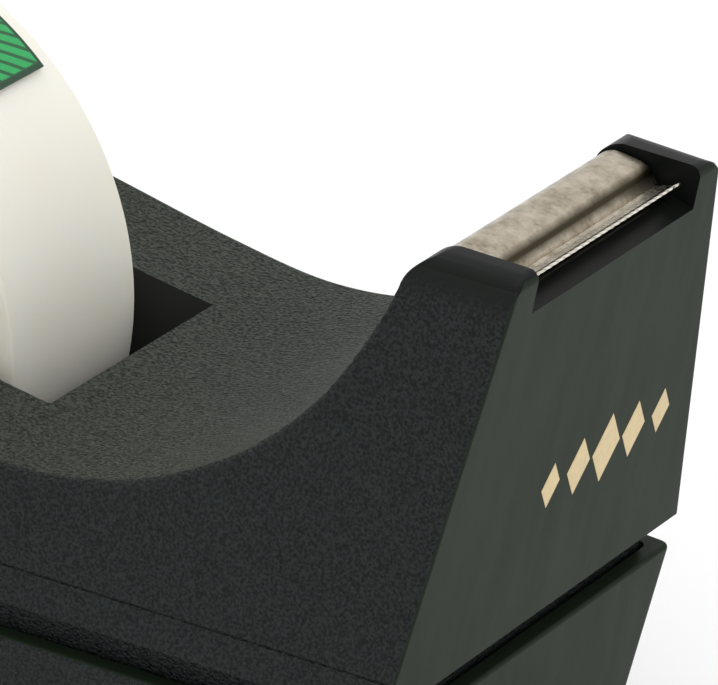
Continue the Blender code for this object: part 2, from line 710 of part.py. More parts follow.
def main():
    clear_scene()
    shop = Workshop()
    black_plastic = make_material("black_plastic", (0.045, 0.050, 0.048), 0.55)
    hub_plastic = make_material("hub_plastic", (0.030, 0.032, 0.033), 0.45)
    iron = make_material("cast_iron", (0.12, 0.11, 0.10), 0.75, 1.0)
    nickel = make_material("nickel_steel", (0.45, 0.40, 0.32), 0.32, 1.0)
    steel = make_material("steel", (0.55, 0.55, 0.54), 0.30, 1.0)
    foam = make_material("foam_rubber", (0.03, 0.03, 0.03), 0.95)
    card = make_material("core_card", (0.55, 0.42, 0.28), 0.85)
    tape = make_material("matte_tape", (0.72, 0.70, 0.58), 0.55)
    green = make_material("green_paper", (0.03, 0.33, 0.10), 0.60)

    build_upper_housing(shop, black_plastic)
    build_lower_housing(shop, black_plastic)
    build_base_pad(shop, foam)
    build_ballast(shop, iron)
    build_screws(shop, steel)
    build_landing_plate(shop, nickel)
    build_blade(shop, steel)
    build_axle(shop, steel)
    build_hub(shop, hub_plastic)
    build_roll(shop, card, tape, green)

    rear = REAR_X + SIDE_DRAFT * SKIRT_Z
    nose = max(x for x, z in housing_outline())
    shop.datum.location = (-(rear + nose) / 2, 0, DATUM_HEIGHT)


main()
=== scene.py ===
"""Looks of the weighted desk tape dispenser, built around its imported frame.

Sizes are in metres. The pieces are worked out in the dispenser's own datum: zero lies where
the front panel's plane crosses the seam between the two housings, +X points to the cutter.
"""
from __future__ import annotations

import logging
import math
import sys
from dataclasses import dataclass, replace
from enum import Enum
from typing import Callable, Iterable, Sequence

import bmesh
import bpy
from mathutils import Matrix, Vector


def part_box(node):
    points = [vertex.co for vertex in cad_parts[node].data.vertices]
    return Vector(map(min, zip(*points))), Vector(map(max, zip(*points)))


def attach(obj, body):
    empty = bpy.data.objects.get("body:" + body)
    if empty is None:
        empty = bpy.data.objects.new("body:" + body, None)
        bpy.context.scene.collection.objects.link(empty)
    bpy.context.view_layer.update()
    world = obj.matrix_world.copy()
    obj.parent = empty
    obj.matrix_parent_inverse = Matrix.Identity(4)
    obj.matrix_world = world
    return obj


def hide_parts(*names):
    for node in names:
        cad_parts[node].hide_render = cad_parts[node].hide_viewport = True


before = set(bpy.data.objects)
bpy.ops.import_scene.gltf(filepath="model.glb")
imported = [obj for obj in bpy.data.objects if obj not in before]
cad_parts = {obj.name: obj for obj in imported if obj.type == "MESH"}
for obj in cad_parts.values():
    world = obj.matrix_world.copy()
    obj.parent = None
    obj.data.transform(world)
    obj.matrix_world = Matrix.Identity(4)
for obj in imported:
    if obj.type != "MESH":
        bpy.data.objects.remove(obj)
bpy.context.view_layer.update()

log = logging.getLogger("tape_dispenser")

Point2 = tuple[float, float]
Colour = tuple[float, float, float]


class Body(Enum):
    """The moving bodies of the dispenser."""

    HOUSING = "housing"
    AXLE = "axle"
    ROLL = "roll"


class Cut(Enum):
    """How one solid acts on another."""

    AWAY = "DIFFERENCE"
    JOIN = "UNION"
    COMMON = "INTERSECT"


# ---------------------------------------------------------------- shared helpers

@dataclass(frozen=True)
class Datum:
    """The datum's place in the row frame, read from the axle that the hub turns on."""

    hub_x: float = -0.07475
    hub_z: float = 0.01137

    def origin(self) -> Vector:
        """Where the datum's zero lies in the row frame."""
        low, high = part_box("hub_axle")
        centre = (low + high) / 2
        return Vector((centre.x - self.hub_x, 0.0, centre.z - self.hub_z))

    def place(self, bm: bmesh.types.BMesh) -> None:
        """Move a mesh made in the datum into the row frame."""
        bmesh.ops.translate(bm, vec=self.origin(), verts=bm.verts)


DATUM = Datum()


def spline_points(knots: Sequence[Point2], steps: int) -> list[Point2]:
    """Points of a smooth curve that runs through every knot.

    Args:
        knots: the points that the curve passes through.
        steps: how many points each span is cut into.

    Returns:
        The points of the curve, ends included.
    """
    first = Vector(knots[0]) * 2 - Vector(knots[1])
    last = Vector(knots[-1]) * 2 - Vector(knots[-2])
    chain = [first, *(Vector(k) for k in knots), last]
    points: list[Point2] = []
    for p0, p1, p2, p3 in zip(chain, chain[1:], chain[2:], chain[3:]):
        for index in range(steps):
            t = index / steps
            place = 0.5 * (2 * p1 + (p2 - p0) * t + (2 * p0 - 5 * p1 + 4 * p2 - p3) * t ** 2
                           + (3 * p1 - p0 - 3 * p2 + p3) * t ** 3)
            points.append((place.x, place.y))
    points.append(tuple(knots[-1]))
    return points


def offset_points(points: Sequence[Point2], distance: float) -> list[Point2]:
    """The line moved sideways by a distance, to its left as it runs."""
    moved: list[Point2] = []
    for index, point in enumerate(points):
        before = Vector(points[max(index - 1, 0)])
        after = Vector(points[min(index + 1, len(points) - 1)])
        along = (after - before).normalized()
        moved.append((point[0] - along.y * distance, point[1] + along.x * distance))
    return moved


def side_slab(points: Sequence[Point2], half_width: float,
              rounding: dict[int, float] | None = None, segments: int = 6) -> bmesh.types.BMesh:
    """A solid with a side outline, as wide as asked.

    Args:
        points: the outline in (x, z).
        half_width: half of its width in y.
        rounding: for the corners to be rounded, the length cut off both of their sides.
        segments: facets of each rounded corner.

    Returns:
        The solid, in the datum.
    """
    bm = bmesh.new()
    corners = [bm.verts.new((x, -half_width, z)) for x, z in points]
    bm.faces.new(corners)
    for index, reach in (rounding or {}).items():
        bmesh.ops.bevel(bm, geom=[corners[index]], offset=reach, offset_type="OFFSET",
                        segments=segments, profile=0.5, affect="VERTICES", material=-1)
    pushed = bmesh.ops.extrude_face_region(bm, geom=list(bm.faces))
    raised = [item for item in pushed["geom"] if isinstance(item, bmesh.types.BMVert)]
    bmesh.ops.translate(bm, vec=(0, 2 * half_width, 0), verts=raised)
    bmesh.ops.recalc_face_normals(bm, faces=bm.faces)
    return bm


def block(low: Sequence[float], high: Sequence[float]) -> bmesh.types.BMesh:
    """A box between two corners."""
    bm = bmesh.new()
    low_corner, high_corner = Vector(low), Vector(high)
    size = Matrix.Diagonal((*(high_corner - low_corner), 1.0))
    bmesh.ops.create_cube(bm, size=1.0,
                          matrix=Matrix.Translation((low_corner + high_corner) / 2) @ size)
    return bm


def upright_rod(x: float, y: float, low: float, high: float, radius: float,
                segments: int = 24) -> bmesh.types.BMesh:
    """A round post that stands along z."""
    bm = bmesh.new()
    bmesh.ops.create_cone(bm, cap_ends=True, segments=segments, radius1=radius, radius2=radius,
                          depth=high - low, matrix=Matrix.Translation((x, y, (low + high) / 2)))
    return bm


def to_mesh(bm: bmesh.types.BMesh, name: str) -> bpy.types.Mesh:
    """Turn a bmesh into a mesh and free it."""
    mesh = bpy.data.meshes.new(name)
    bm.to_mesh(mesh)
    bm.free()
    return mesh


def from_mesh(mesh: bpy.types.Mesh) -> bmesh.types.BMesh:
    """Take a mesh back into a bmesh and drop the mesh."""
    bm = bmesh.new()
    bm.from_mesh(mesh)
    bpy.data.meshes.remove(mesh)
    return bm


def carve(body: bmesh.types.BMesh, tool: bmesh.types.BMesh, cut: Cut) -> bmesh.types.BMesh:
    """Cut, join or keep what two solids share.

    Args:
        body: the solid that is worked on; it is used up.
        tool: the other solid; it is used up.
        cut: what to do.

    Returns:
        The resulting solid.
    """
    target = bpy.data.objects.new("carve_body", to_mesh(body, "carve_body"))
    other = bpy.data.objects.new("carve_tool", to_mesh(tool, "carve_tool"))
    for item in (target, other):
        bpy.context.scene.collection.objects.link(item)
    modifier = target.modifiers.new("carve", "BOOLEAN")
    modifier.operation = cut.value
    modifier.object = other
    modifier.solver = "EXACT"
    graph = bpy.context.evaluated_depsgraph_get()
    result = bpy.data.meshes.new_from_object(target.evaluated_get(graph))
    for item in (target, other):
        mesh = item.data
        bpy.data.objects.remove(item)
        bpy.data.meshes.remove(mesh)
    made = from_mesh(result)
    bmesh.ops.remove_doubles(made, verts=made.verts, dist=0.000002)
    bmesh.ops.dissolve_degenerate(made, edges=made.edges, dist=0.000002)
    return made


def sharp_edges(bm: bmesh.types.BMesh, degrees: float) -> list[bmesh.types.BMEdge]:
    """Edges whose two faces turn by more than an angle."""
    limit = math.radians(degrees)
    return [edge for edge in bm.edges
            if len(edge.link_faces) == 2 and edge.calc_face_angle(0.0) > limit]


def middle(edge: bmesh.types.BMEdge) -> Vector:
    """The middle point of an edge."""
    return (edge.verts[0].co + edge.verts[1].co) / 2


def finish_piece(bm: bmesh.types.BMesh, name: str, body: Body, materials: Iterable[bpy.types.Material],
                 nodes: Sequence[str], smooth_angle: float = 35.0,
                 weight: Callable[[Vector], float] | None = None, width: float = 0.0,
                 segments: int = 3) -> bpy.types.Object:
    """Put a mesh in place, round its edges, shade it and let it ride on its body.

    Args:
        bm: the piece, in the datum.
        name: the piece's name.
        body: the body that it moves with.
        materials: its materials, in slot order.
        nodes: the frame's nodes that it stands for.
        smooth_angle: faces that turn by less than this are shaded as one surface.
        weight: share of the full edge radius at a place, in the datum.
        width: the full edge radius, or 0 for none.
        segments: facets of each rounded edge.

    Returns:
        The finished object.
    """
    if width > 0:
        layer = bm.edges.layers.float.get("bevel_weight_edge")
        if layer is None:
            layer = bm.edges.layers.float.new("bevel_weight_edge")
        for edge in sharp_edges(bm, smooth_angle):
            edge[layer] = 1.0 if weight is None else weight(middle(edge))
    DATUM.place(bm)
    mesh = to_mesh(bm, name)
    piece = bpy.data.objects.new(name, mesh)
    bpy.context.scene.collection.objects.link(piece)
    for material in materials:
        mesh.materials.append(material)
    mesh.shade_smooth()
    mesh.set_sharp_from_angle(angle=math.radians(smooth_angle))
    if width > 0:
        rounding = piece.modifiers.new("edge_rounding", "BEVEL")
        rounding.limit_method = "WEIGHT"
        rounding.width = width
        rounding.segments = segments
        rounding.miter_outer = "MITER_ARC"
        rounding.use_clamp_overlap = True
    weighing = piece.modifiers.new("even_shading", "WEIGHTED_NORMAL")
    weighing.keep_sharp = True
    weighing.weight = 80
    if nodes:
        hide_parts(*nodes)
    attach(piece, body.value)
    log.info("%s: %d faces, rides on %s", name, len(mesh.polygons), body.value)
    return piece


def rounded(bm: bmesh.types.BMesh, width: float, weight: Callable[[Vector], float],
            segments: int = 6, smooth_angle: float = 35.0) -> bmesh.types.BMesh:
    """Round the sharp edges of a solid for good, each by its own share of a radius.

    Args:
        bm: the solid, in the datum; it is used up.
        width: the full edge radius.
        weight: share of the full radius at a place.
        segments: facets of each rounded edge.
        smooth_angle: edges that turn by more than this are rounded.

    Returns:
        The rounded solid.
    """
    layer = bm.edges.layers.float.new("bevel_weight_edge")
    for edge in sharp_edges(bm, smooth_angle):
        edge[layer] = weight(middle(edge))
    holder = bpy.data.objects.new("rounding_work", to_mesh(bm, "rounding_work"))
    bpy.context.scene.collection.objects.link(holder)
    modifier = holder.modifiers.new("rounding", "BEVEL")
    modifier.limit_method = "WEIGHT"
    modifier.width = width
    modifier.segments = segments
    modifier.use_clamp_overlap = False
    graph = bpy.context.evaluated_depsgraph_get()
    result = bpy.data.meshes.new_from_object(holder.evaluated_get(graph))
    mesh = holder.data
    bpy.data.objects.remove(holder)
    bpy.data.meshes.remove(mesh)
    made = from_mesh(result)
    made.edges.layers.float.remove(made.edges.layers.float["bevel_weight_edge"])
    return made


@dataclass(frozen=True)
class Walls:
    """Leaning walls of a moulding: straight in height, wider to the rear, round at the corners."""

    half_width: float
    side_lean: float
    front_x: float
    front_lean: float
    rear_x: float
    rear_lean: float
    front_radius: float
    rear_radius: float
    taper: float = 0.056
    corner_segments: int = 18

    def half_at(self, x: float, z: float) -> float:
        """Half width of the walls at a place."""
        return self.half_width + self.side_lean * z - self.taper * x

    def block(self, low: float, high: float, inset: float = 0.0) -> bmesh.types.BMesh:
        """The solid inside the walls between two heights.

        Args:
            low: its bottom.
            high: its top.
            inset: how far it stands back from the walls.

        Returns:
            The solid, in the datum.
        """
        bm = bmesh.new()
        bmesh.ops.create_cube(bm, size=2.0)
        for vert in bm.verts:
            z = high if vert.co.z > 0 else low
            if vert.co.x > 0:
                x = self.front_x + self.front_lean * z - inset
            else:
                x = self.rear_x + self.rear_lean * z + inset
            vert.co = (x, math.copysign(self.half_at(x, z) - inset, vert.co.y), z)
        centre_x = (self.front_x + self.rear_x) / 2
        uprights = [edge for edge in bm.edges if abs(edge.verts[0].co.z - edge.verts[1].co.z) > 0
                    and abs(edge.verts[0].co.y - edge.verts[1].co.y) < self.half_width]
        rears = [edge for edge in uprights if middle(edge).x < centre_x]
        fronts = [edge for edge in uprights if middle(edge).x > centre_x]
        for edges, radius, segments in ((rears, self.rear_radius - inset, self.corner_segments),
                                        (fronts, self.front_radius, 4)):
            if radius <= 0.0:
                continue
            bmesh.ops.bevel(bm, geom=edges, offset=radius, offset_type="OFFSET",
                            segments=segments, profile=0.5, affect="EDGES", material=-1)
        return bm


UPPER_WALLS = Walls(half_width=0.02503, side_lean=-0.204, front_x=0.020, front_lean=0.0,
                    rear_x=-0.14046, rear_lean=0.204, front_radius=0.001, rear_radius=0.0162)
LOWER_WALLS = Walls(half_width=0.024916, side_lean=0.191, front_x=-0.000071, front_lean=0.114,
                    rear_x=-0.139690, rear_lean=-0.114, front_radius=0.0009, rear_radius=0.0156)


# ---------------------------------------------------------------- finishes

class Recipe:
    """Puts one node material together, step by step."""

    def __init__(self, name: str) -> None:
        """Start a material with an empty Principled shader."""
        self.material = bpy.data.materials.new(name)
        self.material.use_nodes = True
        self.tree = self.material.node_tree
        self.shader = self.tree.nodes["Principled BSDF"]

    def node(self, kind: str, inputs: dict | None = None, **settings) -> bpy.types.Node:
        """Add a node.

        Args:
            kind: the node's type.
            inputs: socket name or number to a value or to another node's socket.
            settings: the node's own properties.

        Returns:
            The node.
        """
        made = self.tree.nodes.new(kind)
        for key, value in settings.items():
            setattr(made, key, value)
        for key, value in (inputs or {}).items():
            self.join(value, made.inputs[key])
        return made

    def join(self, value, socket: bpy.types.NodeSocket) -> None:
        """Link a socket, or set a plain value on it."""
        if isinstance(value, bpy.types.NodeSocket):
            self.tree.links.new(value, socket)
        else:
            socket.default_value = value

    def set(self, **sockets) -> None:
        """Set shader sockets; underscores in the names stand for spaces."""
        for key, value in sockets.items():
            self.join(value, self.shader.inputs[key.replace("_", " ")])

    def place(self, stretch: Sequence[float] = (1, 1, 1),
              shift: Sequence[float] = (0, 0, 0)) -> bpy.types.NodeSocket:
        """The piece's own coordinates, stretched and shifted."""
        source = self.node("ShaderNodeTexCoord").outputs["Object"]
        return self.node("ShaderNodeMapping", {"Vector": source, "Location": shift,
                                               "Scale": stretch}).outputs["Vector"]

    def noise(self, where: bpy.types.NodeSocket, scale: float, detail: float = 2.0,
              roughness: float = 0.5) -> bpy.types.NodeSocket:
        """Soft noise, 0 to 1."""
        return self.node("ShaderNodeTexNoise", {"Vector": where, "Scale": scale,
                                                "Detail": detail,
                                                "Roughness": roughness}).outputs["Fac"]

    def cells(self, where: bpy.types.NodeSocket, scale: float,
              feature: str = "F1") -> bpy.types.NodeSocket:
        """Distance to the middle of the nearest cell."""
        return self.node("ShaderNodeTexVoronoi", {"Vector": where, "Scale": scale},
                         feature=feature).outputs["Distance"]

    def math(self, operation: str, first, second=0.0) -> bpy.types.NodeSocket:
        """One sum."""
        return self.node("ShaderNodeMath", {0: first, 1: second},
                         operation=operation).outputs[0]

    def span(self, value, low: float, high: float, to_low: float = 0.0,
             to_high: float = 1.0) -> bpy.types.NodeSocket:
        """Map a range to another one, held at its ends."""
        return self.node("ShaderNodeMapRange", {"Value": value, "From Min": low,
                                                "From Max": high, "To Min": to_low,
                                                "To Max": to_high}).outputs["Result"]

    def mixed(self, share, first, second) -> bpy.types.NodeSocket:
        """Mix two colours by a share."""
        mixer = self.node("ShaderNodeMix", data_type="RGBA")
        self.join(share, mixer.inputs["Factor"])
        for index, value in ((6, first), (7, second)):
            if not isinstance(value, bpy.types.NodeSocket):
                value = (*value, 1.0)
            self.join(value, mixer.inputs[index])
        return mixer.outputs[2]

    def bump(self, height, depth: float, strength: float = 1.0, under=None) -> bpy.types.NodeSocket:
        """Relief of a given depth, on top of another one if asked."""
        made = self.node("ShaderNodeBump", {"Height": height, "Distance": depth,
                                            "Strength": strength})
        if under is not None:
            self.join(under, made.inputs["Normal"])
        return made.outputs["Normal"]

    def split(self, where: bpy.types.NodeSocket) -> dict[str, bpy.types.NodeSocket]:
        """The three coordinates of a place."""
        return {key: out for key, out in zip("xyz", self.node(
            "ShaderNodeSeparateXYZ", {"Vector": where}).outputs)}


@dataclass(frozen=True)
class GrainedPlastic:
    """Moulded black plastic with a fine spark-eroded grain that fades out near the top."""

    name: str = "grained_plastic"
    dark: Colour = (0.0014, 0.0030, 0.0030)
    light: Colour = (0.0185, 0.0230, 0.0220)
    roughness: float = 0.44
    specular: float = 0.16
    grain_size: float = 0.00030
    grain_depth: float = 0.000170
    fade_from: float = 0.0362
    fade_to: float = 0.0382
    rubbed: Colour = (0.0052, 0.0066, 0.0055)

    def material(self) -> bpy.types.Material:
        """The finish as a material."""
        recipe = Recipe(self.name)
        where = recipe.place()
        height = recipe.split(where)["z"]
        base = DATUM.origin().z
        kept = recipe.span(height, base + self.fade_from, base + self.fade_to, 1.0, 0.0)
        pebbles = recipe.cells(where, 1 / self.grain_size, "SMOOTH_F1")
        pits = recipe.noise(where, 1.1 / self.grain_size, 1.0, 0.5)
        grain = recipe.math("MULTIPLY", recipe.math("ADD", pebbles, pits), kept)
        swell = recipe.noise(where, 9.0, 2.0)
        tone = recipe.math("ADD", recipe.span(pits, 0.36, 0.64, 0.0, 0.80),
                           recipe.span(swell, 0.3, 0.7, 0.0, 0.20))
        rough = recipe.math("ADD", recipe.span(recipe.noise(where, 60.0, 3.0), 0.3, 0.7,
                                               self.roughness - 0.15, self.roughness - 0.08),
                            recipe.math("MULTIPLY", kept, 0.12))
        moulded = recipe.mixed(tone, self.dark, self.light)
        recipe.set(Base_Color=recipe.mixed(kept, self.rubbed, moulded), Roughness=rough,
                   Normal=recipe.bump(grain, self.grain_depth))
        recipe.set(Specular_IOR_Level=self.specular)
        return recipe.material


@dataclass(frozen=True)
class SatinPlastic:
    """Smooth black plastic with faint rubbed streaks."""

    name: str = "satin_plastic"
    dark: Colour = (0.0100, 0.0175, 0.0090)
    light: Colour = (0.0145, 0.0230, 0.0132)
    roughness: float = 0.40
    specular: float = 0.06
    streak_stretch: tuple[float, float, float] = (1.0, 1.0, 0.12)

    def material(self) -> bpy.types.Material:
        """The finish as a material."""
        recipe = Recipe(self.name)
        where = recipe.place()
        streaks = recipe.noise(recipe.place(self.streak_stretch), 420.0, 4.0, 0.6)
        clouds = recipe.noise(where, 45.0, 3.0)
        specks = recipe.noise(where, 2600.0, 2.0)
        rough = recipe.math("ADD", recipe.span(streaks, 0.3, 0.7, -0.03, 0.04),
                            recipe.span(clouds, 0.3, 0.7, self.roughness - 0.03,
                                        self.roughness + 0.04))
        tone = recipe.math("ADD", recipe.span(clouds, 0.3, 0.7, 0.0, 0.7),
                           recipe.span(specks, 0.4, 0.7, 0.0, 0.3))
        recipe.set(Base_Color=recipe.mixed(tone, self.dark, self.light), Roughness=rough,
                   Normal=recipe.bump(specks, 0.0000035))
        recipe.set(Specular_IOR_Level=self.specular)
        return recipe.material


@dataclass(frozen=True)
class NickelPlate:
    """Formed sheet steel under warm nickel, cloudy from handling, rubbed along its length, with
    painted shade as a dark band across the bend.
    """

    name: str = "warm_nickel"
    bright: Colour = (0.56, 0.50, 0.40)
    tarnish: Colour = (0.23, 0.19, 0.13)
    roughness: float = 0.27
    # painted shade: the dark colour painted in a band across the bend
    bend_shade: Colour = (0.045, 0.036, 0.018)
    bend: tuple[float, float, float, float] = (-0.0003, 0.0004, 0.0006, 0.0010)

    def material(self) -> bpy.types.Material:
        """The finish as a material."""
        recipe = Recipe(self.name)
        where = recipe.place()
        along = recipe.math("SUBTRACT", recipe.split(where)["x"], DATUM.origin().x)
        start, full, ease, end = self.bend
        # mask of the band across the bend that takes the painted shade
        shaded_bend = recipe.math("MULTIPLY", recipe.span(along, start, full),
                              recipe.span(along, ease, end, 1.0, 0.0))
        blotches = recipe.noise(where, 520.0, 5.0, 0.65)
        rub = recipe.noise(recipe.place((1.0, 0.05, 1.0)), 5200.0, 3.0, 0.6)
        spots = recipe.noise(where, 2400.0, 2.0, 0.5)
        tone = recipe.math("ADD", recipe.span(blotches, 0.34, 0.66, 0.0, 0.75),
                           recipe.span(spots, 0.50, 0.80, 0.0, 0.35))
        rough = recipe.span(blotches, 0.3, 0.7, self.roughness - 0.04, self.roughness + 0.12)
        plain = recipe.mixed(tone, self.bright, self.tarnish)
        recipe.set(Base_Color=recipe.mixed(shaded_bend, plain, self.bend_shade), Roughness=rough,
                   Normal=recipe.bump(recipe.math("ADD", rub, spots), 0.000004))
        recipe.set(Metallic=1.0)
        return recipe.material


@dataclass(frozen=True)
class CutSteel:
    """Bright ground steel of the teeth, with grinding lines, dull specks, and painted shade in a dark
    band at the tooth roots.
    """

    name: str = "ground_steel"
    bright: Colour = (0.80, 0.76, 0.67)
    dull: Colour = (0.42, 0.38, 0.29)
    roughness: float = 0.20
    # painted shade: the dark colour painted in the band at the tooth roots
    root_shade: Colour = (0.030, 0.025, 0.015)
    roots: tuple[float, float, float, float] = (0.00255, 0.00268, 0.00282, 0.00305)

    def material(self) -> bpy.types.Material:
        """The finish as a material."""
        recipe = Recipe(self.name)
        along = recipe.math("SUBTRACT", recipe.split(recipe.place())["x"], DATUM.origin().x)
        start, full, ease, end = self.roots
        # mask of the band at the tooth roots that takes the painted shade
        root_shade_mask = recipe.math("MULTIPLY", recipe.span(along, start, full),
                              recipe.span(along, ease, end, 1.0, 0.0))
        lines = recipe.noise(recipe.place((0.2, 1.0, 1.0)), 5200.0, 3.0)
        specks = recipe.noise(recipe.place(), 700.0, 3.0)
        ground = recipe.mixed(recipe.span(specks, 0.50, 0.75), self.bright, self.dull)
        recipe.set(Base_Color=recipe.mixed(root_shade_mask, ground, self.root_shade),
                   Roughness=recipe.span(lines, 0.3, 0.7, self.roughness, self.roughness + 0.15),
                   Normal=recipe.bump(lines, 0.0000012))
        recipe.set(Metallic=1.0)
        return recipe.material


@dataclass(frozen=True)
class WoundTape:
    """Translucent matte tape, wound tight: satin outside, fine layer lines on its sides."""

    name: str = "matte_tape"
    pale: Colour = (0.88, 0.865, 0.790)
    warm: Colour = (0.86, 0.810, 0.640)
    roughness: float = 0.48
    layer_pitch: float = 0.00042

    def material(self) -> bpy.types.Material:
        """The finish as a material."""
        recipe = Recipe(self.name)
        where = recipe.place()
        low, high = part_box("hub_axle")
        centre = (low + high) / 2
        parts = recipe.split(recipe.place(shift=(-centre.x, 0.0, -centre.z)))
        radius = recipe.math("SQRT", recipe.math("ADD", recipe.math("POWER", parts["x"], 2.0),
                                                 recipe.math("POWER", parts["z"], 2.0)))
        layers = recipe.math("SINE", recipe.math("MULTIPLY", radius,
                                                 2 * math.pi / self.layer_pitch))
        edge = recipe.span(recipe.math("ABSOLUTE", parts["y"]), 0.0078, 0.0095)
        clouds = recipe.noise(where, 70.0, 3.0)
        tone = recipe.math("ADD", recipe.math("MULTIPLY", edge, 0.35),
                           recipe.span(clouds, 0.35, 0.70, 0.0, 0.4))
        fine = recipe.noise(where, 3000.0, 2.0)
        on_side = recipe.span(recipe.math("ABSOLUTE", parts["y"]), 0.00940, 0.00948)
        relief = recipe.bump(recipe.math("MULTIPLY", layers, on_side), 0.000006)
        recipe.set(Base_Color=recipe.mixed(tone, self.pale, self.warm),
                   Roughness=recipe.span(clouds, 0.3, 0.7, self.roughness - 0.03,
                                         self.roughness + 0.05),
                   Normal=recipe.bump(fine, 0.0000020, under=relief))
        recipe.set(Subsurface_Weight=0.35, Subsurface_Scale=0.004, Specular_IOR_Level=0.35)
        recipe.shader.inputs["Subsurface Radius"].default_value = (1.0, 0.9, 0.6)
        return recipe.material


@dataclass(frozen=True)
class PrintedPaper:
    """Green paper tab with a plain dark border and slanted hatch lines, from its own UV map."""

    name: str = "printed_tab"
    green: Colour = (0.010, 0.330, 0.075)
    pale_green: Colour = (0.020, 0.400, 0.110)
    ink: Colour = (0.008, 0.048, 0.018)
    border: float = 0.030
    hatch_count: float = 15.0
    roughness: float = 0.52

    def material(self) -> bpy.types.Material:
        """The finish as a material."""
        recipe = Recipe(self.name)
        sheet = recipe.node("ShaderNodeUVMap", uv_map="tab_print").outputs["UV"]
        parts = recipe.split(sheet)
        slant = recipe.math("ADD", parts["x"], recipe.math("MULTIPLY", parts["y"], 0.55))
        wave = recipe.math("SINE", recipe.math("MULTIPLY", slant,
                                               2 * math.pi * self.hatch_count))
        hatch = recipe.span(wave, 0.35, 0.60)
        to_edge = recipe.math("MINIMUM", *(recipe.math("MINIMUM", parts[key], recipe.math(
            "SUBTRACT", 1.0, parts[key])) for key in "xy"))
        rim = recipe.span(to_edge, self.border - 0.008, self.border, 1.0, 0.0)
        ink_share = recipe.math("MAXIMUM", rim, recipe.math("MULTIPLY", hatch, 0.85))
        fibre = recipe.noise(recipe.place(), 2500.0, 3.0, 0.6)
        paper = recipe.mixed(recipe.span(fibre, 0.3, 0.7), self.green, self.pale_green)
        recipe.set(Base_Color=recipe.mixed(ink_share, paper, self.ink),
                   Roughness=recipe.span(fibre, 0.3, 0.7, self.roughness - 0.05,
                                         self.roughness + 0.08),
                   Normal=recipe.bump(fibre, 0.000006))
        return recipe.material


class Grit(Enum):
    """Rough finishes that share one recipe."""

    CARD = "wound_card"
    FOAM = "cell_foam"
    IRON = "cast_iron"
    DRUM = "hub_plastic"
    PIN = "drawn_steel"
    ZINC = "zinc_steel"
    FOIL = "gold_foil"


@dataclass(frozen=True)
class PlainFinish:
    """A finish of two colours in fine noise, with relief and its own stretch."""

    kind: Grit
    first: Colour
    second: Colour
    scale: float
    depth: float
    roughness: float
    metallic: float = 0.0
    stretch: tuple[float, float, float] = (1.0, 1.0, 1.0)

    def material(self) -> bpy.types.Material:
        """The finish as a material."""
        recipe = Recipe(self.kind.value)
        fine = recipe.noise(recipe.place(self.stretch), self.scale, 4.0, 0.6)
        clouds = recipe.noise(recipe.place(), self.scale / 14, 3.0)
        tone = recipe.math("ADD", recipe.span(fine, 0.3, 0.7, 0.0, 0.6),
                           recipe.span(clouds, 0.3, 0.7, 0.0, 0.4))
        recipe.set(Base_Color=recipe.mixed(tone, self.first, self.second),
                   Roughness=recipe.span(clouds, 0.3, 0.7, self.roughness - 0.06,
                                         self.roughness + 0.08),
                   Normal=recipe.bump(fine, self.depth))
        recipe.set(Metallic=self.metallic)
        return recipe.material


PLAIN_FINISHES = (
    PlainFinish(Grit.CARD, (0.50, 0.36, 0.22), (0.62, 0.48, 0.33), 1800.0, 0.00004, 0.85),
    PlainFinish(Grit.FOAM, (0.018, 0.018, 0.018), (0.040, 0.040, 0.039), 1500.0, 0.00010, 0.95),
    PlainFinish(Grit.IRON, (0.10, 0.095, 0.09), (0.19, 0.17, 0.15), 900.0, 0.00012, 0.62, 1.0),
    PlainFinish(Grit.DRUM, (0.016, 0.017, 0.018), (0.030, 0.031, 0.032), 1700.0, 0.00001, 0.42),
    PlainFinish(Grit.PIN, (0.48, 0.48, 0.47), (0.62, 0.61, 0.59), 2500.0, 0.000004, 0.28, 1.0,
                (1.0, 0.06, 1.0)),
    PlainFinish(Grit.ZINC, (0.42, 0.43, 0.44), (0.60, 0.60, 0.58), 1900.0, 0.000008, 0.36, 1.0),
    PlainFinish(Grit.FOIL, (0.60, 0.47, 0.25), (0.72, 0.58, 0.34), 1900.0, 0.000006, 0.46, 0.25),
)


# ---------------------------------------------------------------- upper shell

class ShellFinish(Enum):
    """Material slots of the two housings."""

    GRAIN = 0
    SATIN = 1
    # painted light: the deep finish is lighter than the outer plastic, to brighten the well and the
    # undersides
    DEEP = 2
    # painted light: a lighter copy of the grained plastic for the saddle faces that look up
    LIT_SADDLE = 3
    GLOSS = 4


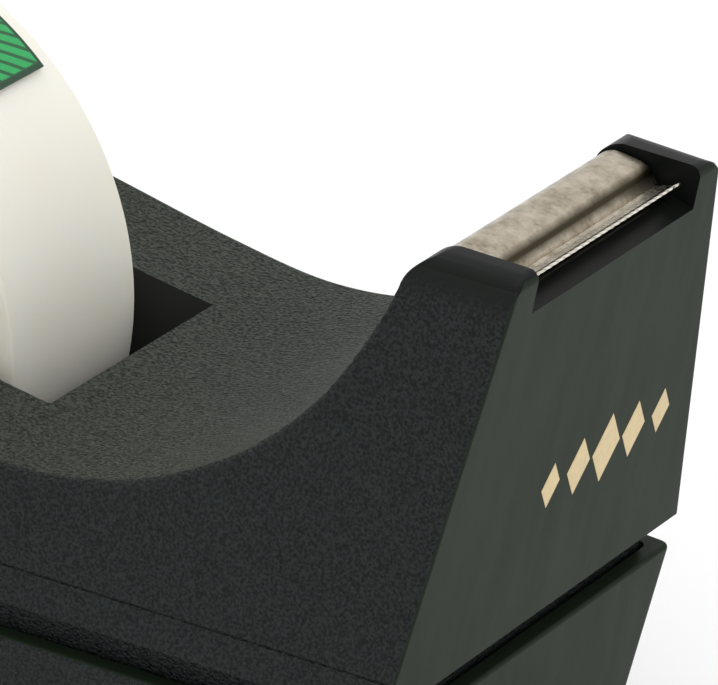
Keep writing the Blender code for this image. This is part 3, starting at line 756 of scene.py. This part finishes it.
@dataclass
class UpperShell:
    """Moulded upper housing: saddle top, roll well, horn with two cheeks, panel and collar."""

    panel_lean: float = 0.125
    skirt_z: float = 0.0020
    cheek_top: float = 0.03955
    horn_back: Point2 = (-0.0043, 0.03955)
    tail_corner: Point2 = (-0.1367, 0.0115)
    saddle: tuple[Point2, ...] = (
        (-0.00545, 0.0365), (-0.0075, 0.0316), (-0.0105, 0.0262), (-0.0150, 0.0212),
        (-0.0200, 0.0177), (-0.0270, 0.0146), (-0.0360, 0.0132), (-0.0460, 0.0141),
        (-0.0570, 0.0159), (-0.0680, 0.0177), (-0.0800, 0.0193), (-0.0950, 0.0200),
        (-0.1100, 0.0188), (-0.1220, 0.0163))
    saddle_steps: int = 8
    overlap: float = 0.00001
    horn_reach: float = 0.0021
    tail_reach: float = 0.0030
    wall: float = 0.0023
    collar_inset: float = 0.0015
    collar_foot_inset: float = 0.0030
    collar_bottom: float = -0.0042
    line_z: float = 0.0051
    line_width: float = 0.00022
    line_depth: float = 0.00016
    well_x: Point2 = (-0.1088, -0.0405)
    well_half: float = 0.0127
    well_floor: float = -0.0180
    tub_wall: float = 0.0014
    slot_half: float = 0.0028
    slot_depth: float = 0.0032
    slot_boss: tuple[float, float, float] = (0.0060, 0.0052, 0.0090)
    seat_half: float = 0.0132
    recess_bottom: float = 0.0357
    recess_back: Point2 = (0.0026, 0.0363)
    screw_places: tuple[Point2, ...] = ((-0.0130, 0.0125), (-0.1240, 0.0150))
    boss_radius: float = 0.0034
    boss_span: Point2 = (-0.0173, 0.0060)
    pilot_radius: float = 0.0011
    pilot_top: float = -0.0040
    cheek_radius: float = 0.0025
    upright_share: float = 0.25
    nose_share: float = 0.42
    corner_start: float = -0.1200
    fade_start: float = 0.0025
    fade_length: float = 0.0025
    saddle_radius: float = 0.0008
    far: float = 0.060

    def panel_x(self, z: float) -> float:
        """Where the front panel stands at a height."""
        return self.panel_lean * z

    def outline(self) -> tuple[list[Point2], dict[int, float]]:
        """Side outline above the skirt edge, and which of its corners are rounded."""
        saddle = spline_points(self.saddle, self.saddle_steps)
        rear = (UPPER_WALLS.rear_x + UPPER_WALLS.rear_lean * self.skirt_z - 0.001, self.skirt_z)
        points = [(0.012, self.skirt_z), (0.012, self.cheek_top + self.overlap),
                  (self.horn_back[0], self.horn_back[1] + self.overlap),
                  *saddle, self.tail_corner, rear]
        tail = len(points) - 2
        return points, {2: self.horn_reach, tail: self.tail_reach}

    def wall_edge(self, place: Vector) -> float:
        """Share of the cheek radius that the walls' own edges take."""
        if place.z < 0.0:
            return 0.0
        if place.z < self.cheek_top - 0.0001:
            return self.upright_share
        return self.nose_share if place.x > self.panel_x(self.cheek_top) - 0.0001 else 1.0

    def saddle_edge(self, place: Vector) -> float:
        """Share of the saddle radius: none at the skirt, and less where the horn turns over."""
        if place.z < self.skirt_z + 0.0002 or place.x > -0.001:
            return 0.0
        fade = min(max((self.cheek_top - self.fade_start - place.z) / self.fade_length, 0.0), 1.0)
        return fade * fade * (3 - 2 * fade)

    def outer_form(self) -> bmesh.types.BMesh:
        """The closed outer form, with its edges rounded."""
        walls = replace(UPPER_WALLS, front_x=0.0, front_lean=self.panel_lean, front_radius=0.0)
        upright = rounded(walls.block(-0.005, self.cheek_top), self.cheek_radius,
                          self.wall_edge, segments=7)
        points, corners = self.outline()
        body = carve(side_slab(points, self.far, corners, segments=10), upright, Cut.COMMON)
        return rounded(body, self.saddle_radius, self.saddle_edge, segments=5)

    def collar(self) -> bmesh.types.BMesh:
        """The collar that drops into the lower housing."""
        top, foot = self.skirt_z + 0.001, self.collar_bottom
        front = self.panel_x(self.skirt_z)
        walls = Walls(UPPER_WALLS.half_width - self.collar_inset, 0.0, front - self.collar_inset,
                      0.0, UPPER_WALLS.rear_x + self.collar_inset, 0.0, 0.0008, 0.0133)
        bm = walls.block(foot, top)
        for vert in bm.verts:
            if vert.co.z < top - 0.0001:
                lean = self.collar_foot_inset - self.collar_inset
                vert.co.y -= math.copysign(lean, vert.co.y)
                vert.co.x += lean if vert.co.x < UPPER_WALLS.rear_x / 2 else -lean
        return bm

    def tub(self, margin: float, low: float, high: float) -> bmesh.types.BMesh:
        """A block round the well, standing off it by a margin."""
        return block((self.well_x[0] - margin, -self.well_half - margin, low),
                     (self.well_x[1] + margin, self.well_half + margin, high))

    def screw_points(self) -> list[Point2]:
        """Where the four screw bosses stand."""
        return [(x, side * y) for x, y in self.screw_places for side in (-1, 1)]

    def cavity(self) -> bmesh.types.BMesh:
        """The hollow under the shell, round the well, the axle slots' walls and the bosses."""
        ceiling, floor = 0.0330, -0.030
        back = self.wall * math.hypot(1, self.panel_lean)
        roof = [point for point in offset_points(spline_points(self.saddle, 4), self.wall)
                if point[1] < ceiling]
        outline = [(self.panel_x(floor) - back, floor), (self.panel_x(ceiling) - back, ceiling),
                   (roof[0][0], ceiling), *roof, (-0.1307, 0.0090),
                   (UPPER_WALLS.rear_x + self.wall, floor)]
        inset = self.wall + self.collar_foot_inset
        hollow = carve(side_slab(outline, self.far), UPPER_WALLS.block(floor, 0.045, inset),
                       Cut.COMMON)
        keep = block((self.panel_x(self.skirt_z) - inset - 0.0005, -self.far, -self.far),
                     (0.02, self.far, self.skirt_z + self.wall))
        hollow = carve(hollow, keep, Cut.AWAY)
        hollow = carve(hollow, self.tub(self.tub_wall, -self.far, self.far), Cut.AWAY)
        half_length, thickness, drop = self.slot_boss
        reach = self.well_half + thickness
        hollow = carve(hollow, block((DATUM.hub_x - half_length, -reach, DATUM.hub_z - drop),
                                     (DATUM.hub_x + half_length, reach, self.far)), Cut.AWAY)
        for x, y in self.screw_points():
            hollow = carve(hollow, upright_rod(x, y, -self.far, self.far, self.boss_radius),
                           Cut.AWAY)
        return hollow

    def axle_slots(self) -> bmesh.types.BMesh:
        """Tool for the open slots in the well walls, round at the bottom."""
        half = self.slot_half
        outline = [(DATUM.hub_x + half, self.far), (DATUM.hub_x - half, self.far),
                   (DATUM.hub_x - half, DATUM.hub_z - half),
                   (DATUM.hub_x + half, DATUM.hub_z - half)]
        return side_slab(outline, self.well_half + self.slot_depth,
                         {2: half * 0.98, 3: half * 0.98}, segments=8)

    def cutter_seat(self, strip: "LandingStrip") -> bmesh.types.BMesh:
        """Tool for the room between the cheeks: the strip's bed and the slope below the teeth."""
        bed = [point for point in offset_points(strip.line(), -strip.thickness - 0.0003)
               if point[0] < 0.0016]
        outline = [(0.020, self.recess_bottom), (0.020, self.far), (-0.008, self.far),
                   (-0.008, bed[0][1]), *bed,
                   (self.recess_back[0] - 0.0004, self.recess_back[1]), self.recess_back,
                   (self.panel_x(self.recess_bottom), self.recess_bottom)]
        return side_slab(outline, self.seat_half)

    def engraved_line(self) -> bmesh.types.BMesh:
        """Tool for the fine line round the sides and the rear, above the skirt."""
        low, high = self.line_z - self.line_width / 2, self.line_z + self.line_width / 2
        reach = self.panel_x(low) - 0.0006
        ring = block((-0.2, -self.far, low), (reach, self.far, high))
        return carve(ring, UPPER_WALLS.block(low - 0.001, high + 0.001, self.line_depth), Cut.AWAY)

    def dress_faces(self, bm: bmesh.types.BMesh) -> None:
        """Give each face its finish by where it lies and where it looks."""
        bm.normal_update()
        for face in bm.faces:
            place, look = face.calc_center_median(), face.normal
            inside = (self.well_x[0] - 0.0001 < place.x < self.well_x[1] + 0.0001
                      and abs(place.y) < self.well_half + self.slot_depth)
            under_teeth = (abs(place.y) < self.seat_half + 0.00001 and place.x > -0.0082
                           and place.z > self.recess_bottom - 0.0001 and look.x > -0.5)
            finish = ShellFinish.GRAIN
            # faces that look up take the lit saddle copy of the grain, which is painted light
            level = 0.30 if place.x > self.corner_start else 0.55
            if look.z > level and abs(place.y) < UPPER_WALLS.half_at(place.x, place.z) - 0.0006:
                finish = ShellFinish.LIT_SADDLE
            if look.x > 0.80 and place.x > -0.001:
                finish = ShellFinish.SATIN
            # the well's walls and the undersides take the deep finish, lightened as painted light
            if (inside and abs(look.z) < 0.3) or look.z < -0.7:
                finish = ShellFinish.DEEP
            if under_teeth:
                finish = ShellFinish.GLOSS
            face.material_index = finish.value

    def small_edge(self, place: Vector) -> float:
        """Share of the small edge radius on the edges cut last."""
        well = (abs(abs(place.y) - self.well_half) < 0.0002
                or min(abs(place.x - x) for x in self.well_x) < 0.0002)
        if well and place.z > 0.010:
            return 1.0
        if place.x < -0.002 and place.z > self.cheek_top - self.cheek_radius:
            return 0.8
        if abs(place.y) < self.seat_half + 0.0001 and place.z > 0.030:
            return 0.8
        return 0.0

    def build(self, strip: "LandingStrip", materials: Sequence[bpy.types.Material]) -> None:
        """Build the shell and let it ride on the housing.

        Args:
            strip: the landing strip, whose bed is cut into the horn.
            materials: grained, satin, deep, lit saddle and cheek gloss finishes; the deep and lit
                saddle ones are lighter copies that carry painted light.
        """
        body = self.outer_form()
        body = carve(body, self.engraved_line(), Cut.AWAY)
        body = carve(body, self.collar(), Cut.JOIN)
        body = carve(body, self.tub(self.tub_wall, self.well_floor - self.tub_wall, 0.006),
                     Cut.JOIN)
        for x, y in self.screw_points():
            body = carve(body, upright_rod(x, y, *self.boss_span, self.boss_radius), Cut.JOIN)
        body = carve(body, self.cavity(), Cut.AWAY)
        body = carve(body, self.tub(0.0, self.well_floor, self.far), Cut.AWAY)
        body = carve(body, self.axle_slots(), Cut.AWAY)
        body = carve(body, self.cutter_seat(strip), Cut.AWAY)
        for x, y in self.screw_points():
            body = carve(body, upright_rod(x, y, -self.far, self.pilot_top, self.pilot_radius),
                         Cut.AWAY)
        self.dress_faces(body)
        finish_piece(body, "upper_shell", Body.HOUSING, materials,
                     ["upper_housing"], weight=self.small_edge, width=0.00022, segments=2)


# ---------------------------------------------------------------- lower tray

@dataclass
class LowerTray:
    """Weighted tray under the shell, with its foam foot."""

    top: float = -0.00113
    bottom: float = -0.0212
    floor_top: float = -0.0196
    wall: float = 0.0020
    edge_radius: float = 0.0004
    foot_boss_radius: float = 0.0044
    foot_boss_top: float = -0.0176
    counterbore: Point2 = (0.0028, 0.0015)
    hole_radius: float = 0.0011
    collar_room: float = 0.0003
    pad_inset: float = 0.0012
    pad_thickness: float = 0.0018
    pad_gap: float = 0.0003
    far: float = 0.060

    def edge_share(self, place: Vector) -> float:
        """Share of the full edge radius: the upright corners are rounded already."""
        return 1.0 if place.z > self.top - 0.001 or place.z < self.bottom + 0.001 else 0.0

    def dress_faces(self, bm: bmesh.types.BMesh) -> None:
        """Grain on the sides and the rear, satin on the front and the ledge."""
        bm.normal_update()
        for face in bm.faces:
            place, look = face.calc_center_median(), face.normal
            outside = abs(place.y) > LOWER_WALLS.half_at(place.x, place.z) - 0.0008
            finish = ShellFinish.GRAIN if outside and abs(look.z) < 0.5 else ShellFinish.SATIN
            if place.x < LOWER_WALLS.rear_x + LOWER_WALLS.rear_radius + 0.002 and abs(look.z) < 0.5:
                finish = ShellFinish.GRAIN
            if look.x > 0.8 and place.x > -0.01:
                finish = ShellFinish.SATIN
            face.material_index = finish.value

    def build(self, shell: UpperShell, materials: Sequence[bpy.types.Material],
              foam: bpy.types.Material) -> None:
        """Build the tray and its foot.

        Args:
            shell: the upper shell, whose collar drops into the tray.
            materials: grained, satin and deep finishes.
            foam: the foot's finish.
        """
        body = rounded(LOWER_WALLS.block(self.bottom, self.top), self.edge_radius,
                       self.edge_share, segments=4)
        hollow = LOWER_WALLS.block(self.floor_top, self.top + 0.003, self.wall)
        for x, y in shell.screw_points():
            hollow = carve(hollow, upright_rod(x, y, -self.far, self.foot_boss_top,
                                               self.foot_boss_radius), Cut.AWAY)
        body = carve(body, hollow, Cut.AWAY)
        room = shell.collar()
        for vert in room.verts:
            vert.co.y += math.copysign(self.collar_room, vert.co.y)
            vert.co.x += -self.collar_room if vert.co.x < -0.05 else self.collar_room
            vert.co.z -= self.collar_room
        body = carve(body, room, Cut.AWAY)
        radius, depth = self.counterbore
        for x, y in shell.screw_points():
            body = carve(body, upright_rod(x, y, -self.far, self.bottom + depth, radius),
                         Cut.AWAY)
            body = carve(body, upright_rod(x, y, -self.far, 0.0, self.hole_radius, 16), Cut.AWAY)
        self.dress_faces(body)
        finish_piece(body, "lower_tray", Body.HOUSING, materials,
                     ["lower_housing"])
        pad_top = self.bottom - self.pad_gap
        flat = Walls(LOWER_WALLS.half_at(0.0, self.bottom), 0.0,
                     LOWER_WALLS.front_x + LOWER_WALLS.front_lean * self.bottom, 0.0,
                     LOWER_WALLS.rear_x + LOWER_WALLS.rear_lean * self.bottom, 0.0,
                     0.0020, 0.0130)
        pad = flat.block(pad_top - self.pad_thickness, pad_top, self.pad_inset)
        finish_piece(pad, "foam_foot", Body.HOUSING, [foam], ["base_pad"],
                     weight=lambda place: 1.0, width=0.00035, segments=3)


# ---------------------------------------------------------------- cutter

@dataclass
class LandingStrip:
    """Formed nickel strip that the tape end rests on, with a bend and a fine crease."""

    knots: tuple[Point2, ...] = (
        (-0.0047, 0.0374), (-0.0045, 0.0381), (-0.0040, 0.0386), (-0.0034, 0.0389),
        (-0.0028, 0.0390), (-0.0007, 0.03876), (0.0001, 0.03845), (0.0006, 0.0380),
        (0.0010, 0.0374), (0.0013, 0.0369), (0.0019, 0.03672))
    steps: int = 6
    thickness: float = 0.0004
    half_width: float = 0.0128

    def line(self) -> list[Point2]:
        """The strip's upper line, from its back to its front lip."""
        return spline_points(self.knots, self.steps)

    def build(self, nickel: bpy.types.Material) -> None:
        """Build the strip."""
        upper = self.line()
        lower = offset_points(upper, -self.thickness)
        strip = side_slab([*upper, *lower[::-1]], self.half_width)
        finish_piece(strip, "landing_strip", Body.HOUSING, [nickel],
                     ["landing_plate"], smooth_angle=40.0, weight=lambda place: 1.0,
                     width=0.00010, segments=2)


@dataclass
class SawBlade:
    """Strip with a saw edge on the landing strip's lip; the teeth are set up and twisted."""

    back: Point2 = (0.00125, 0.03692)
    front: Point2 = (0.00275, 0.03738)
    thickness: float = 0.00024
    pitch: float = 0.0010
    tooth: float = 0.00078
    rise: float = 0.00022
    skew: float = 0.00042
    root_share: float = 0.36
    tip_share: float = 0.17
    half_width: float = 0.0126
    crease: float = 0.34

    def build(self, steel: bpy.types.Material) -> None:
        """Build the blade: a base strip, and one wedge drawn out for each tooth."""
        count = round(2 * self.half_width / self.pitch)
        half = count * self.pitch / 2
        along = (Vector((self.front[0], 0, self.front[1]))
                 - Vector((self.back[0], 0, self.back[1])))
        length, direction = along.length, along.normalized()
        up = Vector((-direction.z, 0, direction.x))
        bm = bmesh.new()
        bmesh.ops.create_cube(bm, size=1.0, matrix=Matrix.Diagonal(
            (length, 2 * half, self.thickness, 1.0)))
        for index in range(1, count):
            bmesh.ops.bisect_plane(bm, geom=[*bm.verts, *bm.edges, *bm.faces],
                                   plane_co=(0, index * self.pitch - half, 0),
                                   plane_no=(0, 1, 0))
        bmesh.ops.bisect_plane(bm, geom=[*bm.verts, *bm.edges, *bm.faces],
                               plane_co=((self.crease - 0.5) * length, 0, 0),
                               plane_no=(1, 0, 0))
        bmesh.ops.bisect_plane(bm, geom=[*bm.verts, *bm.edges, *bm.faces],
                               plane_co=((self.crease - 0.42) * length, 0, 0),
                               plane_no=(1, 0, 0))
        for vert in bm.verts:
            if vert.co.z > 0 and abs(vert.co.x - (self.crease - 0.5) * length) < 0.00001:
                vert.co.z -= self.thickness * 0.45
        fronts = [face for face in bm.faces if face.normal.x > 0.9]
        for reach, share, lift, lean in ((0.00004, self.root_share, 0.0, 0.0),
                                         (self.tooth, self.tip_share, self.rise, self.skew)):
            fronts = bmesh.ops.extrude_discrete_faces(bm, faces=fronts)["faces"]
            for face in fronts:
                centre_y = face.calc_center_median().y
                for vert in face.verts:
                    vert.co.x += reach * (1.0 if vert.co.z > 0 else 0.86)
                    vert.co.y = (centre_y + lean
                                 + math.copysign(share * self.pitch, vert.co.y - centre_y))
                    vert.co.z += lift
        seat = Matrix(((direction.x, 0, up.x, 0), (0, 1, 0, 0), (direction.z, 0, up.z, 0),
                       (0, 0, 0, 1)))
        middle_point = (Vector((self.back[0], 0, self.back[1])) + along / 2
                        + up * self.thickness / 2)
        bmesh.ops.transform(bm, matrix=Matrix.Translation(middle_point) @ seat, verts=bm.verts)
        bmesh.ops.remove_doubles(bm, verts=bm.verts, dist=0.000001)
        finish_piece(bm, "saw_blade", Body.HOUSING, [steel], ["cutter_blade"],
                     smooth_angle=25.0)


# ---------------------------------------------------------------- hub and roll

def turned_ring(section: Sequence[Point2], steps: int) -> bmesh.types.BMesh:
    """Spin a closed section about the hub's axis, which lies along y.

    Args:
        section: the closed section's corners as (radius, y).
        steps: facets of the full turn.

    Returns:
        The ring, in the datum.
    """
    bm = bmesh.new()
    corners = [bm.verts.new((radius, y, 0.0)) for radius, y in section]
    edges = [bm.edges.new((first, second))
             for first, second in zip(corners, [*corners[1:], corners[0]])]
    bmesh.ops.spin(bm, geom=[*corners, *edges], cent=(0, 0, 0), axis=(0, 1, 0),
                   angle=2 * math.pi, steps=steps, use_merge=True)
    bmesh.ops.remove_doubles(bm, verts=bm.verts, dist=0.000001)
    bmesh.ops.recalc_face_normals(bm, faces=bm.faces)
    bmesh.ops.translate(bm, vec=(DATUM.hub_x, 0, DATUM.hub_z), verts=bm.verts)
    return bm


def ring_section(inner: float, outer: float, half: float, chamfer: float) -> list[Point2]:
    """Section of a ring with its outer edges broken."""
    return [(inner, half), (outer - chamfer, half), (outer - chamfer * 0.3, half - chamfer * 0.3),
            (outer, half - chamfer), (outer, chamfer - half),
            (outer - chamfer * 0.3, chamfer * 0.3 - half), (outer - chamfer, -half),
            (inner, -half)]


@dataclass
class TapeRoll:
    """Card core, the tape wound on it, and the paper tab on the outer turn."""

    core: Point2 = (0.0129, 0.0143)
    tape: Point2 = (0.0146, 0.0285)
    half_width: float = 0.0095
    chamfer: float = 0.00045
    tab_radius: float = 0.02881
    tab_thickness: float = 0.00018
    tab_half_width: float = 0.0073
    tab_angles: Point2 = (49.0, 95.0)

    def build_core(self, card: bpy.types.Material) -> None:
        """Build the card core."""
        ring = turned_ring(ring_section(*self.core, self.half_width, self.chamfer), 96)
        finish_piece(ring, "card_core", Body.ROLL, [card], ["tape_core"])

    def build_tape(self, tape: bpy.types.Material) -> None:
        """Build the wound tape."""
        ring = turned_ring(ring_section(*self.tape, self.half_width, self.chamfer), 180)
        finish_piece(ring, "wound_tape", Body.ROLL, [tape], ["tape_roll"])

    def build_tab(self, paper: bpy.types.Material) -> None:
        """Build the tab: a flat sheet, printed, thickened, then wrapped round the roll."""
        start, end = (math.radians(angle) for angle in self.tab_angles)
        length = (end - start) * self.tab_radius
        bm = bmesh.new()
        print_map = bm.loops.layers.uv.new("tab_print")
        bmesh.ops.create_grid(bm, x_segments=40, y_segments=10, size=0.5)
        for face in bm.faces:
            for loop in face.loops:
                loop[print_map].uv = (loop.vert.co.x + 0.5, loop.vert.co.y + 0.5)
        bmesh.ops.scale(bm, vec=(length, 2 * self.tab_half_width, 1.0), verts=bm.verts)
        bmesh.ops.solidify(bm, geom=list(bm.faces), thickness=-self.tab_thickness)
        for vert in bm.verts:
            angle = (start + end) / 2 + vert.co.x / self.tab_radius
            radius = self.tab_radius + abs(vert.co.z)
            vert.co = (DATUM.hub_x + radius * math.cos(angle), vert.co.y,
                       DATUM.hub_z + radius * math.sin(angle))
        bmesh.ops.recalc_face_normals(bm, faces=bm.faces)
        finish_piece(bm, "paper_tab", Body.ROLL, [paper], ["starter_tab"])


@dataclass
class HubDrum:
    """The lift-out drum: two ribbed cups with windowed ends, and the pin through them."""

    radius: float = 0.0122
    half_length: float = 0.0112
    wall: float = 0.0016
    bore: float = 0.0028
    boss: float = 0.0046
    disc: float = 0.0014
    seam: float = 0.00015
    rib_count: int = 12
    rib_height: float = 0.0003
    rib_half: float = 0.0005
    window_count: int = 6
    window_radius: float = 0.0017
    window_ring: float = 0.0078
    pin_radius: float = 0.0025
    pin_half: float = 0.0156
    pin_chamfer: float = 0.0004

    def cup_section(self, side: int) -> list[Point2]:
        """Section of one cup, from its open end to its disc, on one side of the seam."""
        chamfer = 0.0006
        corners = [(self.bore, self.half_length), (self.radius - chamfer, self.half_length),
                   (self.radius - chamfer * 0.3, self.half_length - chamfer * 0.3),
                   (self.radius, self.half_length - chamfer), (self.radius, self.seam),
                   (self.radius - self.wall, self.seam),
                   (self.radius - self.wall, self.half_length - self.disc),
                   (self.boss, self.half_length - self.disc), (self.boss, self.seam),
                   (self.bore, self.seam)]
        return [(radius, side * y) for radius, y in corners]

    def cup(self, side: int) -> bmesh.types.BMesh:
        """One cup with its ribs and windows."""
        drum = turned_ring(self.cup_section(side), 96)
        hub = Matrix.Translation((DATUM.hub_x, 0, DATUM.hub_z))
        start, end = sorted((side * 0.0012, side * (self.half_length - 0.0006)))
        for index in range(self.rib_count):
            turn = hub @ Matrix.Rotation(2 * math.pi * index / self.rib_count, 4, "Y")
            rib = block((-self.rib_half, start, self.radius - self.wall / 2),
                        (self.rib_half, end, self.radius + self.rib_height))
            bmesh.ops.transform(rib, matrix=turn, verts=rib.verts)
            drum = carve(drum, rib, Cut.JOIN)
        low, high = sorted((side * (self.half_length - self.disc * 2), side * 0.02))
        for index in range(self.window_count):
            turn = hub @ Matrix.Rotation(2 * math.pi * (index + 0.5) / self.window_count, 4, "Y")
            window = upright_rod(self.window_ring, 0.0, low, high, self.window_radius, 20)
            lay = Matrix.Rotation(-math.pi / 2, 4, "X")
            bmesh.ops.transform(window, matrix=turn @ lay, verts=window.verts)
            drum = carve(drum, window, Cut.AWAY)
        return drum

    def build(self, plastic: bpy.types.Material, steel: bpy.types.Material) -> None:
        """Build both cups and the pin.

        Args:
            plastic: the cups' finish.
            steel: the pin's finish.
        """
        for name, side, node in (("drum_cup_left", 1, "hub_half_left"),
                                 ("drum_cup_right", -1, "hub_half_right")):
            finish_piece(self.cup(side), name, Body.ROLL, [plastic], [node],
                         weight=lambda place: 1.0, width=0.00012, segments=2)
        pin = bmesh.new()
        bmesh.ops.create_cone(pin, cap_ends=True, segments=64, radius1=self.pin_radius,
                              radius2=self.pin_radius, depth=2 * self.pin_half,
                              matrix=Matrix.Translation((DATUM.hub_x, 0, DATUM.hub_z))
                              @ Matrix.Rotation(math.pi / 2, 4, "X"))
        rims = sharp_edges(pin, 35.0)
        bmesh.ops.bevel(pin, geom=rims, offset=self.pin_chamfer,
                        offset_type="OFFSET", segments=3, profile=0.5, affect="EDGES",
                        material=-1)
        finish_piece(pin, "steel_pin", Body.AXLE, [steel], ["hub_axle"])


# ---------------------------------------------------------------- panel mark

@dataclass
class PanelMark:
    """Plain gold ornament on the front panel: a row of lozenges that grow to the middle."""

    first: float = -0.0026
    pitch: float = 0.0046
    height: float = 0.0155
    half_widths: tuple[float, ...] = (0.0015, 0.0019, 0.0023, 0.0019, 0.0015)
    stretch: float = 1.45
    foil: float = 0.00004

    def build(self, shell: UpperShell, foil: bpy.types.Material) -> None:
        """Build the ornament on the panel's plane.

        Args:
            shell: the upper shell that carries it.
            foil: its finish.
        """
        mark = bmesh.new()
        for index, half in enumerate(self.half_widths):
            seat = (Matrix.Translation((self.first + index * self.pitch, 0, 0))
                    @ Matrix.Diagonal((1.0, self.stretch, 1.0, 1.0)))
            bmesh.ops.create_cone(mark, cap_ends=True, segments=4, radius1=half,
                                  radius2=half * 0.985, depth=2 * self.foil, matrix=seat)
        slope = Vector((shell.panel_lean, 0, 1)).normalized()
        outward = Vector((1, 0, -shell.panel_lean)).normalized()
        place = Matrix(((0, slope.x, outward.x, shell.panel_x(self.height)), (1, 0, 0, 0),
                        (0, slope.z, outward.z, self.height), (0, 0, 0, 1)))
        bmesh.ops.transform(mark, matrix=place, verts=mark.verts)
        finish_piece(mark, "panel_mark", Body.HOUSING, [foil], [])


# ---------------------------------------------------------------- hidden metal

def dress_hidden_metal(iron: bpy.types.Material, zinc: bpy.types.Material) -> None:
    """Give the ballast and the screws, which keep their meshes, their finishes."""
    for name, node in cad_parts.items():
        finish = iron if name.startswith("ballast") else zinc
        if name.startswith(("ballast", "base_screw")):
            node.data.materials.clear()
            node.data.materials.append(finish)
            log.info("%s: dressed in %s", name, finish.name)


# ---------------------------------------------------------------- studio

@dataclass(frozen=True)
class SoftBox:
    """One soft rectangular light."""

    name: str
    place: tuple[float, float, float]
    size: float
    power: float
    warmth: Colour = (1.0, 1.0, 1.0)

    def build(self, aim: Vector) -> None:
        """Hang the light and turn it to a point."""
        data = bpy.data.lights.new(self.name, "AREA")
        data.shape = "SQUARE"
        data.size = self.size
        data.energy = self.power
        data.color = self.warmth
        light = bpy.data.objects.new(self.name, data)
        light.location = self.place
        light.rotation_euler = (aim - Vector(self.place)).to_track_quat("-Z", "Y").to_euler()
        bpy.context.scene.collection.objects.link(light)


@dataclass
class Studio:
    """Pale floor, soft lights and the camera."""

    floor_half: float = 3.0
    world: Colour = (1.0, 1.0, 1.0)
    world_strength: float = 0.95
    floor_colour: Colour = (0.93, 0.93, 0.93)
    lights: tuple[SoftBox, ...] = (
        SoftBox("top_soft", (-0.15, 0.30, 1.60), 1.7, 7.0),
        SoftBox("front_soft", (0.90, -0.47, 0.80), 0.14, 0.9),
    )
    azimuth: float = 29.535
    elevation: float = 25.158
    roll: float = 4.604
    lens: float = 390.46
    distance: float = 0.6479
    target: tuple[float, float, float] = (-0.0186, 0.0, 0.02121)

    def build_floor(self) -> None:
        """Lay the floor under the foot."""
        bm = bmesh.new()
        bmesh.ops.create_grid(bm, x_segments=1, y_segments=1, size=self.floor_half)
        floor = bpy.data.objects.new("floor", to_mesh(bm, "floor"))
        recipe = Recipe("pale_floor")
        tone = recipe.noise(recipe.place(), 3.0, 2.0)
        near = tuple(value * 0.985 for value in self.floor_colour)
        recipe.set(Base_Color=recipe.mixed(tone, near, self.floor_colour))
        recipe.set(Roughness=0.9, Specular_IOR_Level=0.1)
        floor.data.materials.append(recipe.material)
        bpy.context.scene.collection.objects.link(floor)

    def build_lights(self) -> None:
        """Set the surrounding light and hang the soft boxes."""
        scene = bpy.context.scene
        scene.world = bpy.data.worlds.new("studio_air")
        scene.world.use_nodes = True
        background = scene.world.node_tree.nodes["Background"]
        background.inputs["Color"].default_value = (*self.world, 1.0)
        background.inputs["Strength"].default_value = self.world_strength
        for light in self.lights:
            light.build(Vector((0.0, 0.0, 0.03)))
        scene.view_settings.view_transform = "Standard"

    def build_camera(self) -> None:
        """Stand the camera at its viewing angle."""
        azimuth, elevation, roll = (math.radians(angle) for angle in (
            self.azimuth, self.elevation, self.roll))
        back = Vector((math.sin(azimuth) * math.cos(elevation),
                       -math.cos(azimuth) * math.cos(elevation), math.sin(elevation)))
        level = Vector((math.cos(azimuth), math.sin(azimuth), 0.0))
        upward = back.cross(level)
        right = level * math.cos(roll) + upward * math.sin(roll)
        top = upward * math.cos(roll) - level * math.sin(roll)
        data = bpy.data.cameras.new("camera")
        data.lens = self.lens
        data.sensor_width = 36.0
        data.clip_start, data.clip_end = 0.01, 20.0
        camera = bpy.data.objects.new("camera", data)
        place = DATUM.origin() + Vector(self.target) + back * self.distance
        turn = Matrix((right, top, back)).transposed().to_4x4()
        camera.matrix_world = Matrix.Translation(place) @ turn
        bpy.context.scene.collection.objects.link(camera)
        bpy.context.scene.camera = camera

    def build(self) -> None:
        """Build the whole studio."""
        self.build_floor()
        self.build_lights()
        self.build_camera()


def main() -> None:
    """Build every piece and the studio."""
    logging.basicConfig(level=logging.INFO, format="%(name)s: %(message)s", stream=sys.stdout)
    grain = GrainedPlastic().material()
    satin = SatinPlastic().material()
    # painted light: lighter than the outer plastic, to brighten the well
    deep = SatinPlastic("lightened_well_plastic", (0.0280, 0.0280, 0.0280), (0.0360, 0.0360, 0.0355),
                        0.45, 0.10).material()
    # painted light: a lighter copy of the grained plastic, put on the faces that look up
    saddle = GrainedPlastic("lit_saddle_grain", (0.0040, 0.0066, 0.0036), (0.0540, 0.0620, 0.0500),
                            0.50, 0.10, 0.00034, 0.000200).material()
    gloss = SatinPlastic("cheek_gloss", (0.0045, 0.0055, 0.0048), (0.0075, 0.0088, 0.0078),
                         0.30, 0.08).material()
    plain = {finish.kind: finish.material() for finish in PLAIN_FINISHES}
    housing = (grain, satin, deep, saddle, gloss)

    strip = LandingStrip()
    shell = UpperShell()
    shell.build(strip, housing)
    LowerTray().build(shell, housing, plain[Grit.FOAM])
    strip.build(NickelPlate().material())
    SawBlade().build(CutSteel().material())
    roll = TapeRoll()
    roll.build_core(plain[Grit.CARD])
    roll.build_tape(WoundTape().material())
    roll.build_tab(PrintedPaper().material())
    HubDrum().build(plain[Grit.DRUM], plain[Grit.PIN])
    PanelMark().build(shell, plain[Grit.FOIL])
    dress_hidden_metal(plain[Grit.IRON], plain[Grit.ZINC])
    Studio().build()


if __name__ == "__main__":
    main()
